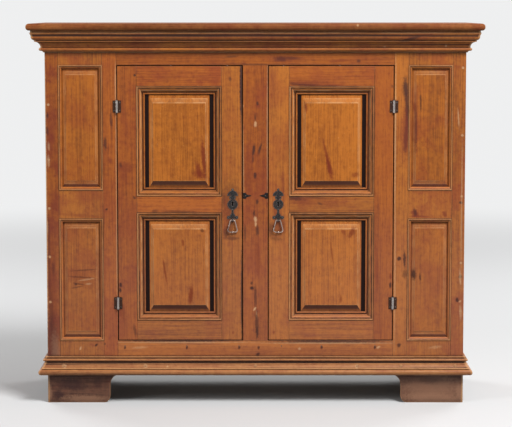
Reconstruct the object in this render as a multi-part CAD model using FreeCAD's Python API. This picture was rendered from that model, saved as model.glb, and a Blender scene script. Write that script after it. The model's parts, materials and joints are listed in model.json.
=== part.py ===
import FreeCAD, Part
import os
from math import degrees, sin, tan
from FreeCAD import Vector

# A two-door kas cupboard of pine with iron fittings, in millimetres.
# +X is to the right, +Y to the back and +Z up. The origin is on the floor, under the middle
# of the whole cupboard. Pieces are worked out for the right half and mirrored to the left.

# ---- Widths of the front frame, from the middle outwards ----
centre_stile_width = 86.0
door_opening_width = 436.0
inner_stile_width = 49.0
flank_opening_width = 152.0
corner_stile_width = 45.0

# ---- Heights, from the floor upwards ----
foot_height = 100.0
bottom_rail_showing = 54.5
door_opening_height = 958.0
top_rail_showing = 44.0
top_board_thickness = 24.0

# ---- Depths and thicknesses ----
case_depth = 480.0
frame_thickness = 26.0
side_thickness = 22.0
back_board_thickness = 12.0
shelf_thickness = 20.0
bottom_board_thickness = 20.0
dado_depth = 8.0

# ---- Back boards and shelves ----
back_board_count = 7
back_board_gap = 1.0
bottom_board_drop = 9.0
lower_shelf_rise = 315.0
upper_shelf_rise = 640.0
shelf_front_gap = 0.3

# ---- Flank frames ----
flank_upper_opening_height = 432.0
flank_middle_rail_height = 99.0

# ---- Doors ----
door_gap = 3.0
door_hinge_stile_width = 66.0
door_lock_stile_width = 71.0
door_top_rail_height = 69.5
door_middle_rail_height = 58.5
door_bottom_rail_height = 69.5
door_upper_opening_height = 379.0

# ---- Joinery ----
tenon_length = 20.0
door_tenon_length = 30.0
tenon_thickness = 7.0
tenon_setback = 6.0
tenon_shoulder = 10.0
joint_fit = 0.2
edge_ease = 1.5

# ---- Panels: a tongue held in grooves, and a raised field ----
panel_setback = 16.0
panel_tongue_thickness = 6.0
panel_tongue_length = 7.0
panel_play = 1.0
panel_field_rise = 8.0
panel_shoulder = 1.2
panel_side_margin = 13.5
panel_side_bevel = 14.0
panel_foot_bevel = 22.5
panel_head_bevel = 29.0
panel_end_margin = 0.5
flank_panel_setback = 11.0
flank_panel_rise = 5.0
flank_side_bevel = 13.0
flank_end_bevel = 20.0

# ---- Door panel moulding: widths from the frame inwards, heights above the panel ----
moulding_bead_width = 5.0
moulding_bead_proud = 1.0
moulding_quirk_width = 1.0
moulding_quirk_depth = 2.0
moulding_ovolo_width = 9.0
moulding_step_height = 6.5
moulding_cove_width = 7.0
moulding_cove_height = 2.5
moulding_lip_width = 6.0
moulding_lip_height = 3.0

# ---- Flank panel moulding ----
flank_bead_width = 4.0
flank_bead_proud = 0.8
flank_ovolo_width = 8.0
flank_ovolo_foot = 3.0

# ---- Cornice: member heights from the bottom upwards, and how far each stands out ----
cornice_foot_height = 5.5
cornice_bead_height = 11.0
cornice_cove_height = 20.5
cornice_fillet_height = 5.0
cornice_ovolo_height = 15.0
cornice_fascia_height = 11.0
cornice_quirk_height = 7.0
cornice_foot_projection = 4.0
cornice_bead_projection = 12.0
cornice_fillet_projection = 32.0
cornice_ovolo_projection = 42.0
cornice_fascia_projection = 47.0
cornice_quirk_setback = 3.0
top_board_overhang = 58.0
top_board_nose = 11.0

# ---- Base moulding: member heights from the bottom upwards, and how far each stands out ----
base_torus_height = 20.5
base_line_height = 2.0
base_slope_height = 18.5
base_quirk_height = 7.0
base_bead_height = 9.0
base_fillet_height = 7.5
base_torus_projection = 20.0
base_line_setback = 2.0
base_slope_foot_projection = 22.0
base_slope_top_projection = 11.0
base_quirk_projection = 9.0
base_bead_projection = 10.5
base_fillet_projection = 8.0

# ---- Feet ----
foot_bracket_length = 218.0
foot_side_length = 165.0
foot_thickness = 22.0
foot_toe_radius = 24.0
foot_flare_radius = 36.0
rear_foot_board_width = 110.0
foot_block_size = 45.0
foot_block_clear = 3.0

# ---- Hinges ----
upper_hinge_drop = 142.0
lower_hinge_rise = 132.0
hinge_height = 41.0
hinge_leaf_reach = 14.0
hinge_leaf_thickness = 1.8
hinge_leaf_gap = 0.5
hinge_pin_radius = 1.6
hinge_pin_fit = 0.05
hinge_pin_head_radius = 3.0
hinge_pin_head_height = 1.6
knuckle_radius = 4.5
knuckle_clear = 0.3
knuckle_gap = 0.4

# ---- Lock, its keyhole and its strike ----
key_inset = 33.0
key_rise = 3.0
keyhole_radius = 4.0
keyhole_rise = 4.0
keyhole_slot_width = 4.8
keyhole_slot_drop = 9.0
lock_width = 54.0
lock_depth = 12.0
lock_wall = 1.5
lock_below_key = 25.0
lock_above_key = 45.0
bolt_rise = 27.0
bolt_length = 44.0
bolt_height = 10.0
bolt_thickness = 5.0
bolt_inset = 0.5
bolt_fit = 0.3
bolt_throw = 12.0
strike_length = 30.0
strike_barb_inset = 9.0
strike_neck_inset = 14.0
strike_root_height = 18.0
strike_barb_height = 22.0
strike_neck_height = 9.0
strike_thickness = 1.2
strike_return = 27.5
mortise_clear = 1.0

# ---- Escutcheon plate, staple and drop bail ----
plate_thickness = 1.5
plate_body_radius = 17.5
plate_crown_radius = 18.0
plate_neck_width = 12.0
plate_scroll_radius = 3.6
plate_waist_width = 7.0
plate_leaf_radius = 8.5
plate_lobe_radius = 5.5
plate_tip_radius = 6.0
plate_bar_height = 5.5
plate_finial_radius = 3.8
plate_crown_rise = 26.5
bail_pivot_drop = 57.0
bail_drop = 42.0
bail_top_width = 15.0
bail_bottom_width = 36.0
bail_wire_radius = 2.0
bail_knob_radius = 3.8
bail_top_bend = 3.5
bail_bottom_bend = 7.0
staple_wire_radius = 1.3
staple_slack = 0.5
staple_depth = 20.0

# ---- Pegs and nails ----
peg_radius = 4.5
peg_depth = 46.0
peg_proud = 0.3
base_peg_radius = 3.5
base_peg_depth = 36.0
nail_shank_radius = 1.0
nail_head_radius = 2.1
nail_head_height = 1.2
nail_depth = 14.0
rail_nail_depth = 44.0
fastener_fit = 0.05
left_peg_levels = (0.83, 0.65, 0.49, 0.33, 0.18)
right_peg_levels = (0.95, 0.73, 0.53, 0.31, 0.15)
base_peg_stations = (-0.92, -0.53, 0.0, 0.49, 0.70, 0.96)
rail_nail_stations = (-0.95, -0.50, -0.12, 0.19, 0.48, 0.87)

# ---- Stations worked out from the sizes above ----
door_opening_inner = centre_stile_width / 2
door_opening_outer = door_opening_inner + door_opening_width
flank_opening_inner = door_opening_outer + inner_stile_width
flank_opening_outer = flank_opening_inner + flank_opening_width
half_width = flank_opening_outer + corner_stile_width

base_height = (base_torus_height + base_line_height + base_slope_height
               + base_quirk_height + base_bead_height + base_fillet_height)
cornice_height = (cornice_foot_height + cornice_bead_height + cornice_cove_height
                  + cornice_fillet_height + cornice_ovolo_height
                  + cornice_fascia_height + cornice_quirk_height)
case_bottom = foot_height
base_top = case_bottom + base_height
opening_bottom = base_top + bottom_rail_showing
opening_top = opening_bottom + door_opening_height
cornice_bottom = opening_top + top_rail_showing
case_top = cornice_bottom + cornice_height

back_y = (case_depth + top_board_overhang) / 2
face_y = back_y - case_depth
frame_back_y = face_y + frame_thickness
back_board_y = back_y - back_board_thickness

flank_upper_bottom = opening_top - flank_upper_opening_height
flank_lower_top = flank_upper_bottom - flank_middle_rail_height

door_inner = door_opening_inner + door_gap
door_outer = door_opening_outer - door_gap
door_bottom = opening_bottom + door_gap
door_top = opening_top - door_gap
door_panel_inner = door_inner + door_lock_stile_width
door_panel_outer = door_outer - door_hinge_stile_width
door_upper_top = door_top - door_top_rail_height
door_upper_bottom = door_upper_top - door_upper_opening_height
door_lower_top = door_upper_bottom - door_middle_rail_height
door_lower_bottom = door_bottom + door_bottom_rail_height

moulding_width = (moulding_bead_width + moulding_quirk_width + moulding_ovolo_width
                  + moulding_cove_width + moulding_lip_width)
flank_moulding_width = flank_bead_width + flank_ovolo_width

bottom_board_top = opening_bottom - bottom_board_drop
bottom_board_bottom = bottom_board_top - bottom_board_thickness
lower_shelf_bottom = opening_bottom + lower_shelf_rise
upper_shelf_bottom = opening_bottom + upper_shelf_rise

hinge_x = door_opening_outer - door_gap / 2
hinge_y = face_y - knuckle_clear - knuckle_radius
hinge_levels = (opening_top - upper_hinge_drop, opening_bottom + lower_hinge_rise)

key_x = door_inner + key_inset
key_z = (door_upper_bottom + door_lower_top) / 2 + key_rise
bolt_z = key_z + bolt_rise
lock_front_y = frame_back_y - lock_depth
bolt_back_y = frame_back_y - lock_wall - bolt_fit
bolt_front_y = bolt_back_y - bolt_thickness
staple_radius = bail_wire_radius + staple_slack + staple_wire_radius
bail_z = key_z - bail_pivot_drop
bail_y = face_y - plate_thickness - knuckle_clear - staple_radius - staple_wire_radius

pieces = {}


# ---- Shapes ----
def box(x0, x1, y0, y1, z0, z1):
    return Part.makeBox(x1 - x0, y1 - y0, z1 - z0, Vector(x0, y0, z0))


def front_rod(x, z, y0, y1, radius):
    """A round rod along Y."""
    return Part.makeCylinder(radius, y1 - y0, Vector(x, y0, z), Vector(0, 1, 0))


def outline(points, place):
    """A face inside points given anticlockwise. A third value bows the side that ends at its
    point, by that share of the side's length: outwards if positive, inwards if negative."""
    edges = []
    for before, point in zip(points[-1:] + points[:-1], points):
        start = place(before[0], before[1])
        end = place(point[0], point[1])
        if len(point) == 2:
            edges.append(Part.makeLine(start, end))
            continue
        middle = place((before[0] + point[0]) / 2 + point[2] * (point[1] - before[1]),
                       (before[1] + point[1]) / 2 - point[2] * (point[0] - before[0]))
        edges.append(Part.Arc(start, middle, end).toShape())
    return Part.Face(Part.Wire(edges))


half_round_share = 0.5
quarter_round_share = 0.2071


def plan_prism(corners, z0, z1):
    """An upright prism over corners given as (x, y)."""
    ring = [Vector(x, y, z0) for x, y in corners]
    return Part.Face(Part.makePolygon(ring + ring[:1])).extrude(Vector(0, 0, z1 - z0))


def front_prism(corners, y0, y1):
    """A prism along Y over corners given as (x, z)."""
    ring = [Vector(x, y0, z) for x, z in corners]
    return Part.Face(Part.makePolygon(ring + ring[:1])).extrude(Vector(0, y1 - y0, 0))


def mirrored(shape):
    return shape.mirror(Vector(0, 0, 0), Vector(1, 0, 0))


def ease_front(shape):
    """Round the edges of a board that lie in the plane of the case's face."""
    edges = [edge for edge in shape.Edges
             if all(abs(corner.Y - face_y) < joint_fit for corner in edge.Vertexes)]
    return shape.makeFillet(edge_ease, edges)


def keep(name, *shapes):
    """Store a piece, or a group of like pieces, under its name."""
    solids = [solid for shape in shapes for solid in shape.Solids]
    pieces[name] = Part.makeCompound(solids) if len(solids) > 1 else solids[0]


def drill(names, rods):
    """Take the holes for pegs or nails out of the pieces that they pass through."""
    for name in names:
        keep(name, pieces[name].cut(Part.makeCompound(rods)))


# ---- Frame joinery ----
def side_tenons(x0, x1, z0, z1, length, fit=0.0):
    """The tenons at both ends of a rail that spans x0 to x1."""
    y0 = face_y + tenon_setback - fit
    y1 = face_y + tenon_setback + tenon_thickness + fit
    bottom = z0 + tenon_shoulder - fit
    top = z1 - tenon_shoulder + fit
    return Part.makeCompound([box(x0 - length - fit, x0, y0, y1, bottom, top),
                              box(x1, x1 + length + fit, y0, y1, bottom, top)])


def end_tenons(x0, x1, z0, z1, length, fit=0.0):
    """The tenons at the top and bottom of a stile that spans z0 to z1."""
    y0 = face_y + tenon_setback - fit
    y1 = face_y + tenon_setback + tenon_thickness + fit
    left = x0 + tenon_shoulder - fit
    right = x1 - tenon_shoulder + fit
    return Part.makeCompound([box(left, right, y0, y1, z0 - length - fit, z0),
                              box(left, right, y0, y1, z1, z1 + length + fit)])


def member(x0, x1, z0, z1):
    """A plain stile or rail of the front, its face edges eased."""
    return ease_front(box(x0, x1, face_y, frame_back_y, z0, z1))


def panel_groove(opening, setback):
    """The grooves round an opening that hold the panel's tongue with room to shrink."""
    x0, x1, z0, z1 = opening
    reach = panel_tongue_length + panel_play
    y0 = face_y + setback - joint_fit
    return box(x0 - reach, x1 + reach, y0, y0 + panel_tongue_thickness + 2 * joint_fit,
               z0 - reach, z1 + reach)


def raised_panel(opening, setback, rise, inset, bevel):
    """A panel whose tongue stands in the grooves. Its bevels rise to a small shoulder round the
    raised field. inset is the margin at the sides and at the ends, and bevel is the width of the
    bevels at the sides, the foot and the head."""
    x0, x1, z0, z1 = opening
    seat_y = face_y + setback
    reach = panel_tongue_length
    tongue = box(x0 - reach, x1 + reach, seat_y, seat_y + panel_tongue_thickness,
                 z0 - reach, z1 + reach)
    margin, end_margin = inset
    side = margin + bevel[0]
    foot = end_margin + bevel[1]
    head = end_margin + bevel[2]
    shoulder_y = seat_y - rise + panel_shoulder
    rings = []
    for y, across, up, down in ((seat_y, margin, end_margin, end_margin),
                                (shoulder_y, side, foot, head)):
        corners = [Vector(x0 + across, y, z0 + up), Vector(x1 - across, y, z0 + up),
                   Vector(x1 - across, y, z1 - down), Vector(x0 + across, y, z1 - down)]
        rings.append(Part.makePolygon(corners + corners[:1]))
    bevels = Part.makeLoft(rings, True, True)
    field = box(x0 + side, x1 - side, seat_y - rise, shoulder_y, z0 + foot, z1 - head)
    return tongue.multiFuse([bevels, field]).removeSplitter()


def mitred_sticks(opening, profile, width):
    """Four lengths of moulding, mitred at the corners, round the inside of an opening.
    The profile is given as (in from the frame, out from the case's face)."""
    x0, x1, z0, z1 = opening
    clip = width + edge_ease
    y0 = face_y - frame_thickness
    y1 = frame_back_y
    sticks = []
    for side in (-1, 1):
        level = z0 if side < 0 else z1
        run = outline(profile, lambda u, v: Vector(x0, face_y - v, level - side * u))
        cut = front_prism([(x0, level), (x1, level), (x1 - clip, level - side * clip),
                           (x0 + clip, level - side * clip)], y0, y1)
        sticks.append(run.extrude(Vector(x1 - x0, 0, 0)).common(cut))
    for side in (-1, 1):
        edge = x0 if side < 0 else x1
        run = outline(profile, lambda u, v: Vector(edge - side * u, face_y - v, z0))
        cut = front_prism([(edge, z0), (edge, z1), (edge - side * clip, z1 - clip),
                           (edge - side * clip, z0 + clip)], y0, y1)
        sticks.append(run.extrude(Vector(0, 0, z1 - z0)).common(cut))
    return sticks


def door_moulding_profile():
    """A proud bead, a quirk, a falling ovolo, a cove and an inner lip."""
    seat = -panel_setback
    quirk = moulding_bead_width + moulding_quirk_width
    ovolo = quirk + moulding_ovolo_width
    cove = ovolo + moulding_cove_width
    return [(0, seat), (moulding_width, seat), (moulding_width, seat + moulding_lip_height),
            (cove, seat + moulding_lip_height, half_round_share),
            (cove, seat + moulding_cove_height),
            (ovolo, seat + moulding_step_height, -quarter_round_share),
            (ovolo, seat + moulding_step_height + moulding_quirk_depth),
            (quirk, 0, quarter_round_share),
            (quirk, -moulding_quirk_depth), (moulding_bead_width, -moulding_quirk_depth),
            (moulding_bead_width, moulding_bead_proud), (0, moulding_bead_proud, half_round_share)]


def flank_moulding_profile():
    """A small bead and an ovolo that falls to the panel."""
    seat = -flank_panel_setback
    return [(0, seat), (flank_moulding_width, seat),
            (flank_moulding_width, seat + flank_ovolo_foot),
            (flank_bead_width, 0, quarter_round_share),
            (flank_bead_width, flank_bead_proud), (0, flank_bead_proud, half_round_share)]


# ---- Mouldings that wrap the front and sides of the case ----
def wrapped_moulding(name, profile, z0, z1):
    """A front length and two side lengths, mitred at the front corners."""
    reach = top_board_overhang + half_width - flank_opening_outer
    front = outline(profile, lambda u, v: Vector(-half_width - reach, face_y - u, z0 + v))
    front = front.extrude(Vector(2 * (half_width + reach), 0, 0))
    front_cut = plan_prism([(-half_width, face_y), (-half_width - reach, face_y - reach),
                            (half_width + reach, face_y - reach), (half_width, face_y)], z0, z1)
    side = outline(profile, lambda u, v: Vector(half_width + u, face_y - reach, z0 + v))
    side = side.extrude(Vector(0, back_y - face_y + reach, 0))
    side_cut = plan_prism([(half_width, face_y), (half_width + reach, face_y - reach),
                           (half_width + reach, back_y), (half_width, back_y)], z0, z1)
    side = side.common(side_cut)
    keep(name + "_front", front.common(front_cut))
    keep(name + "_right", side)
    keep(name + "_left", mirrored(side))


def make_cornice():
    bead = cornice_foot_height
    cove = bead + cornice_bead_height
    fillet = cove + cornice_cove_height
    ovolo = fillet + cornice_fillet_height
    fascia = ovolo + cornice_ovolo_height
    quirk = fascia + cornice_fascia_height
    quirk_projection = cornice_fascia_projection - cornice_quirk_setback
    profile = [(0, 0), (cornice_foot_projection, 0),
               (cornice_bead_projection, bead, -quarter_round_share),
               (cornice_bead_projection, cove, half_round_share),
               (cornice_fillet_projection, fillet, -quarter_round_share),
               (cornice_fillet_projection, ovolo),
               (cornice_ovolo_projection, fascia, quarter_round_share),
               (cornice_fascia_projection, quirk), (quirk_projection, quirk),
               (quirk_projection, cornice_height), (0, cornice_height)]
    wrapped_moulding("cornice", profile, cornice_bottom, case_top)


def make_base_moulding():
    line = base_torus_height
    slope = line + base_line_height
    quirk = slope + base_slope_height
    bead = quirk + base_quirk_height
    fillet = bead + base_bead_height
    line_projection = base_torus_projection - base_line_setback
    profile = [(0, 0), (base_torus_projection, 0), (base_torus_projection, line, half_round_share),
               (line_projection, line), (line_projection, slope),
               (base_slope_foot_projection, slope),
               (base_slope_top_projection, quirk, -quarter_round_share / 2),
               (base_quirk_projection, quirk), (base_quirk_projection, bead),
               (base_bead_projection, bead), (base_bead_projection, fillet, half_round_share),
               (base_fillet_projection, fillet), (base_fillet_projection, base_height),
               (0, base_height)]
    wrapped_moulding("base", profile, case_bottom, base_top)


def make_top_board():
    """A board with a full nose along its front and ends."""
    edge = half_width + top_board_overhang
    front = face_y - top_board_overhang
    board = box(-edge, edge, front, back_y, case_top, case_top + top_board_thickness)
    level = [line for line in board.Edges
             if abs(line.Vertexes[0].Z - line.Vertexes[-1].Z) < joint_fit]
    nosed = [line for line in level
             if not all(abs(corner.Y - back_y) < joint_fit for corner in line.Vertexes)]
    keep("top_board", board.makeFillet(top_board_nose, nosed))


# ---- The case ----
def make_front_frame():
    corner = member(flank_opening_outer, half_width, case_bottom, case_top)
    inner = member(door_opening_outer, flank_opening_inner, case_bottom, case_top)
    levels = ((flank_upper_bottom - flank_middle_rail_height, flank_upper_bottom),
              (case_bottom, opening_bottom), (opening_top, case_top))
    openings = ((flank_opening_inner, flank_opening_outer, flank_upper_bottom, opening_top),
                (flank_opening_inner, flank_opening_outer, opening_bottom, flank_lower_top))
    inset = (flank_moulding_width + panel_end_margin, flank_moulding_width + panel_end_margin)
    rails = []
    for z0, z1 in levels:
        span = (flank_opening_inner, flank_opening_outer, z0, z1)
        rails.append(member(*span).fuse(side_tenons(*span, tenon_length)))
        mortises = side_tenons(*span, tenon_length, joint_fit)
        corner = corner.cut(mortises)
        inner = inner.cut(mortises)
    panels = []
    sticks = []
    for opening in openings:
        groove = panel_groove(opening, flank_panel_setback)
        corner = corner.cut(groove)
        inner = inner.cut(groove)
        rails = [rail.cut(groove) for rail in rails]
        panels.append(raised_panel(opening, flank_panel_setback, flank_panel_rise, inset,
                                   (flank_side_bevel, flank_end_bevel, flank_end_bevel)))
        sticks += mitred_sticks(opening, flank_moulding_profile(), flank_moulding_width)

    cross_rails = []
    for z0, z1 in ((opening_top, case_top), (case_bottom, opening_bottom)):
        span = (-door_opening_outer, door_opening_outer, z0, z1)
        cross_rails.append(member(*span).fuse(side_tenons(*span, tenon_length)))
        inner = inner.cut(side_tenons(*span, tenon_length, joint_fit))
    post = (-door_opening_inner, door_opening_inner, opening_bottom, opening_top)
    centre = member(*post).fuse(end_tenons(*post, tenon_length))
    sockets = end_tenons(*post, tenon_length, joint_fit)

    keep("right_corner_stile", corner)
    keep("left_corner_stile", mirrored(corner))
    keep("right_inner_stile", inner)
    keep("left_inner_stile", mirrored(inner))
    keep("centre_stile", centre)
    keep("top_rail", cross_rails[0].cut(sockets))
    keep("bottom_rail", cross_rails[1].cut(sockets))
    keep("flank_rails", *rails, *map(mirrored, rails))
    keep("flank_panels", *panels, *map(mirrored, panels))
    keep("flank_mouldings", *sticks, *map(mirrored, sticks))


def make_boards():
    """Sides, bottom, shelves and the nailed back boards."""
    inside = half_width - side_thickness
    end = inside + dado_depth
    shelf_front = frame_back_y + shelf_front_gap
    levels = ((bottom_board_bottom, bottom_board_top),
              (lower_shelf_bottom, lower_shelf_bottom + shelf_thickness),
              (upper_shelf_bottom, upper_shelf_bottom + shelf_thickness))
    side = box(inside, half_width, frame_back_y, back_board_y, case_bottom, case_top)
    boards = []
    for z0, z1 in levels:
        boards.append(box(-end, end, shelf_front, back_board_y, z0, z1))
        side = side.cut(box(inside - joint_fit, end + joint_fit, shelf_front - joint_fit,
                            back_board_y, z0 - joint_fit, z1 + joint_fit))
    keep("right_side", side)
    keep("left_side", mirrored(side))
    keep("bottom_board", boards[0])
    keep("shelves", *boards[1:])

    pitch = (2 * half_width + back_board_gap) / back_board_count
    keep("back_boards", *[box(-half_width + index * pitch,
                              -half_width + (index + 1) * pitch - back_board_gap,
                              back_board_y, back_y, case_bottom, case_top)
                          for index in range(back_board_count)])


def bracket_outline(length, place):
    """A bracket foot with a rounded toe and a coved flare under the case."""
    return outline([(0, 0), (length - foot_toe_radius, 0),
                    (length, foot_toe_radius, quarter_round_share),
                    (length, foot_height - foot_flare_radius),
                    (length + foot_flare_radius, foot_height, -quarter_round_share),
                    (0, foot_height)], place)


def make_feet():
    inside = half_width - foot_thickness
    front = bracket_outline(foot_bracket_length, lambda u, v: Vector(half_width - u, face_y, v))
    front = front.extrude(Vector(0, foot_thickness, 0))
    front = front.common(plan_prism([(half_width, face_y), (inside, face_y + foot_thickness),
                                     (0, face_y + foot_thickness), (0, face_y)],
                                    0, foot_height))
    side = bracket_outline(foot_side_length, lambda u, v: Vector(half_width, face_y + u, v))
    side = side.extrude(Vector(-foot_thickness, 0, 0))
    side = side.common(plan_prism([(half_width, face_y), (half_width, back_y),
                                   (inside, back_y), (inside, face_y + foot_thickness)],
                                  0, foot_height))
    rear = bracket_outline(foot_side_length, lambda u, v: Vector(half_width, back_y - u, v))
    rear = rear.extrude(Vector(-foot_thickness, 0, 0))
    heel = box(inside - rear_foot_board_width, inside, back_y - foot_thickness, back_y,
               0, foot_height)
    blocks = [box(inside - foot_block_size, inside, y0, y0 + foot_block_size,
                  foot_block_clear, foot_height)
              for y0 in (face_y + foot_thickness, back_y - foot_thickness - foot_block_size)]
    keep("front_feet", front, side, mirrored(front), mirrored(side))
    keep("rear_feet", rear, heel, mirrored(rear), mirrored(heel))
    keep("foot_blocks", *blocks, *map(mirrored, blocks))


# ---- Iron fittings ----
def make_hinge(level):
    """The frame leaf, the door leaf and the pin of one right-hand hinge."""
    z0 = level - hinge_height / 2
    z1 = level + hinge_height / 2
    third = hinge_height / 3
    spans = ((z0, z0 + third - knuckle_gap), (z0 + third, z1 - third),
             (z1 - third + knuckle_gap, z1))
    strip = knuckle_radius + hinge_leaf_gap
    plate_y = face_y - hinge_leaf_thickness

    def leaf(side, own):
        x0, x1 = sorted((hinge_x + side * strip, hinge_x + side * hinge_leaf_reach))
        shape = box(x0, x1, plate_y, face_y, z0, z1)
        for low, high in own:
            inner, outer = sorted((hinge_x, hinge_x + side * strip))
            shape = shape.fuse(box(inner, outer, plate_y, face_y, low, high))
            shape = shape.fuse(Part.makeCylinder(knuckle_radius, high - low,
                                                 Vector(hinge_x, hinge_y, low)))
        bore = Part.makeCylinder(hinge_pin_radius + hinge_pin_fit, hinge_height,
                                 Vector(hinge_x, hinge_y, z0))
        return shape.cut(bore)

    pin = Part.makeCylinder(hinge_pin_radius, hinge_height, Vector(hinge_x, hinge_y, z0))
    for foot in (z0 - hinge_pin_head_height, z1):
        pin = pin.fuse(Part.makeCylinder(hinge_pin_head_radius, hinge_pin_head_height,
                                         Vector(hinge_x, hinge_y, foot)))
    return leaf(1, (spans[0], spans[2])), leaf(-1, spans[1:2]), pin


def nail(x, z, seat_y, depth=nail_depth):
    """A nail with a low facetted head, driven along +Y from its seat."""
    shank = front_rod(x, z, seat_y, seat_y + depth, nail_shank_radius)
    head = Part.makeCone(nail_head_radius / 2, nail_head_radius, nail_head_height,
                         Vector(x, seat_y - nail_head_height, z), Vector(0, 1, 0))
    return head.fuse(shank)


def nail_hole(x, z, seat_y, depth=nail_depth):
    return front_rod(x, z, seat_y - fastener_fit, seat_y + depth + fastener_fit,
                     nail_shank_radius + fastener_fit)


def hinge_nail_places(side):
    """Two nails through each leaf on one side of the hinges."""
    x = hinge_x + side * (knuckle_radius + hinge_leaf_gap + hinge_leaf_reach) / 2
    return [(x, level + end * hinge_height / 3) for level in hinge_levels for end in (-1, 1)]


def keyhole(y0, y1):
    top = key_z + keyhole_rise
    slot = keyhole_slot_width / 2
    hole = front_rod(key_x, top, y0, y1, keyhole_radius)
    return hole.fuse(box(key_x - slot, key_x + slot, y0, y1, key_z - keyhole_slot_drop, top))


def lock_body(fit=0.0):
    """The space that the let-in lock takes up in the door's stile."""
    return box(door_inner, door_inner + lock_width + fit, lock_front_y - fit, frame_back_y,
               key_z - lock_below_key - fit, key_z + lock_above_key + fit)


def bolt_bar(x0, x1, fit=0.0):
    return box(x0, x1, bolt_front_y - fit, bolt_back_y + fit,
               bolt_z - bolt_height / 2 - fit, bolt_z + bolt_height / 2 + fit)


def make_lock():
    """A shallow iron tray with the sliding bolt between two ribs."""
    x0 = door_inner
    x1 = door_inner + lock_width
    z0 = key_z - lock_below_key
    z1 = key_z + lock_above_key
    tray = lock_body().cut(box(x0 + lock_wall, x1 - lock_wall, lock_front_y,
                               frame_back_y - lock_wall, z0 + lock_wall, z1 - lock_wall))
    for side in (-1, 1):
        edge = bolt_z + side * (bolt_height / 2 + bolt_fit)
        low, high = sorted((edge, edge + side * lock_wall))
        tray = tray.fuse(box(x0, x1, bolt_front_y, frame_back_y - lock_wall, low, high))
    tray = tray.cut(bolt_bar(x0 - lock_wall, x0 + bolt_inset + bolt_length + bolt_fit, bolt_fit))
    bolt = bolt_bar(x0 + bolt_inset, x0 + bolt_inset + bolt_length)
    return tray.removeSplitter(), bolt


def strike_return_wing():
    """The part of a strike that is let into the edge of the centre stile."""
    edge = door_opening_inner
    y0 = face_y - strike_thickness
    return box(edge - strike_thickness, edge, y0, y0 + strike_return,
               bolt_z - strike_root_height / 2, bolt_z + strike_root_height / 2)


def make_strike():
    """A pointed wing on the stile's face, bent round its edge and slotted for the bolt."""
    wing = outline([(-strike_length, 0), (-strike_neck_inset, -strike_neck_height / 2),
                    (-strike_barb_inset, -strike_barb_height / 2, -quarter_round_share),
                    (0, -strike_root_height / 2), (0, strike_root_height / 2),
                    (-strike_barb_inset, strike_barb_height / 2),
                    (-strike_neck_inset, strike_neck_height / 2, -quarter_round_share)],
                   lambda u, v: Vector(door_opening_inner + u, face_y - strike_thickness,
                                       bolt_z + v))
    wing = wing.extrude(Vector(0, strike_thickness, 0))
    slot = bolt_bar(0, door_opening_outer, mortise_clear)
    return wing.fuse(strike_return_wing().cut(slot)).removeSplitter()


def plate_disc(dx, dz, radius):
    return front_rod(key_x + dx, key_z + dz, face_y - plate_thickness, face_y, radius)


def plate_strip(width, dz0, dz1):
    return box(key_x - width / 2, key_x + width / 2, face_y - plate_thickness, face_y,
               key_z + dz0, key_z + dz1)


def plate_finial_rise():
    return plate_crown_rise + plate_crown_radius + plate_finial_radius


def make_escutcheon():
    """A cut iron plate: a finial, a domed crown, scrolls, a shield round the keyhole and a
    three-lobed leaf that carries the bail's staple."""
    shield_z = -key_rise
    crown_z = plate_crown_rise
    finial_z = plate_finial_rise()
    leaf_z = -bail_pivot_drop + plate_leaf_radius + plate_lobe_radius
    lobe_x = plate_leaf_radius + plate_lobe_radius
    lobe_z = leaf_z - plate_lobe_radius
    crown = outline([(-plate_crown_radius, crown_z, half_round_share), (plate_crown_radius, crown_z)],
                    lambda u, v: Vector(key_x + u, face_y - plate_thickness, key_z + v))
    plate = crown.extrude(Vector(0, plate_thickness, 0))
    scroll_x = (plate_neck_width + plate_scroll_radius) / 2
    scroll_z = (crown_z + shield_z + plate_body_radius) / 2
    parts = [plate_disc(0, shield_z, plate_body_radius),
             plate_strip(plate_neck_width, 0, crown_z),
             plate_disc(scroll_x, scroll_z, plate_scroll_radius),
             plate_disc(-scroll_x, scroll_z, plate_scroll_radius),
             plate_disc(0, finial_z, plate_finial_radius),
             plate_strip(plate_finial_radius, crown_z, finial_z),
             plate_strip(plate_waist_width, -bail_pivot_drop, 0),
             plate_disc(0, leaf_z, plate_leaf_radius),
             plate_disc(lobe_x, lobe_z, plate_lobe_radius),
             plate_disc(-lobe_x, lobe_z, plate_lobe_radius),
             plate_strip(2 * lobe_x, lobe_z - plate_bar_height / 2,
                         lobe_z + plate_bar_height / 2),
             plate_disc(0, -bail_pivot_drop, plate_tip_radius)]
    plate = plate.multiFuse(parts).removeSplitter()
    return plate.cut(keyhole(face_y - 2 * plate_thickness, face_y + plate_thickness))


def make_bail():
    """A stirrup of round iron with a knob in the middle of its foot."""
    corners = [(-bail_top_width / 2, 0, bail_top_bend), (bail_top_width / 2, 0, bail_top_bend),
               (bail_bottom_width / 2, -bail_drop, bail_bottom_bend),
               (-bail_bottom_width / 2, -bail_drop, bail_bottom_bend)]
    points = [Vector(key_x + x, bail_y, bail_z + z) for x, z, _ in corners]
    bends = []
    ends = []
    for index, point in enumerate(points):
        back = (points[index - 1] - point).normalize()
        on = (points[(index + 1) % len(points)] - point).normalize()
        bend = corners[index][2]
        half_angle = back.getAngle(on) / 2
        run = bend / tan(half_angle)
        centre = point + (back + on).normalize() * (bend / sin(half_angle))
        section = Part.Face(Part.Wire(Part.makeCircle(bail_wire_radius, point + back * run, back)))
        bends.append(section.revolve(centre, on.cross(back), 180 - 2 * degrees(half_angle)))
        ends.append((point + back * run, point + on * run))
    rods = []
    for index, (_, start) in enumerate(ends):
        along = ends[(index + 1) % len(ends)][0] - start
        rods.append(Part.makeCylinder(bail_wire_radius, along.Length, start, along))
    knob = Part.makeSphere(bail_knob_radius, (points[2] + points[3]) / 2, Vector(1, 0, 0))
    return bends[0].multiFuse(bends[1:] + rods + [knob])


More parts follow.
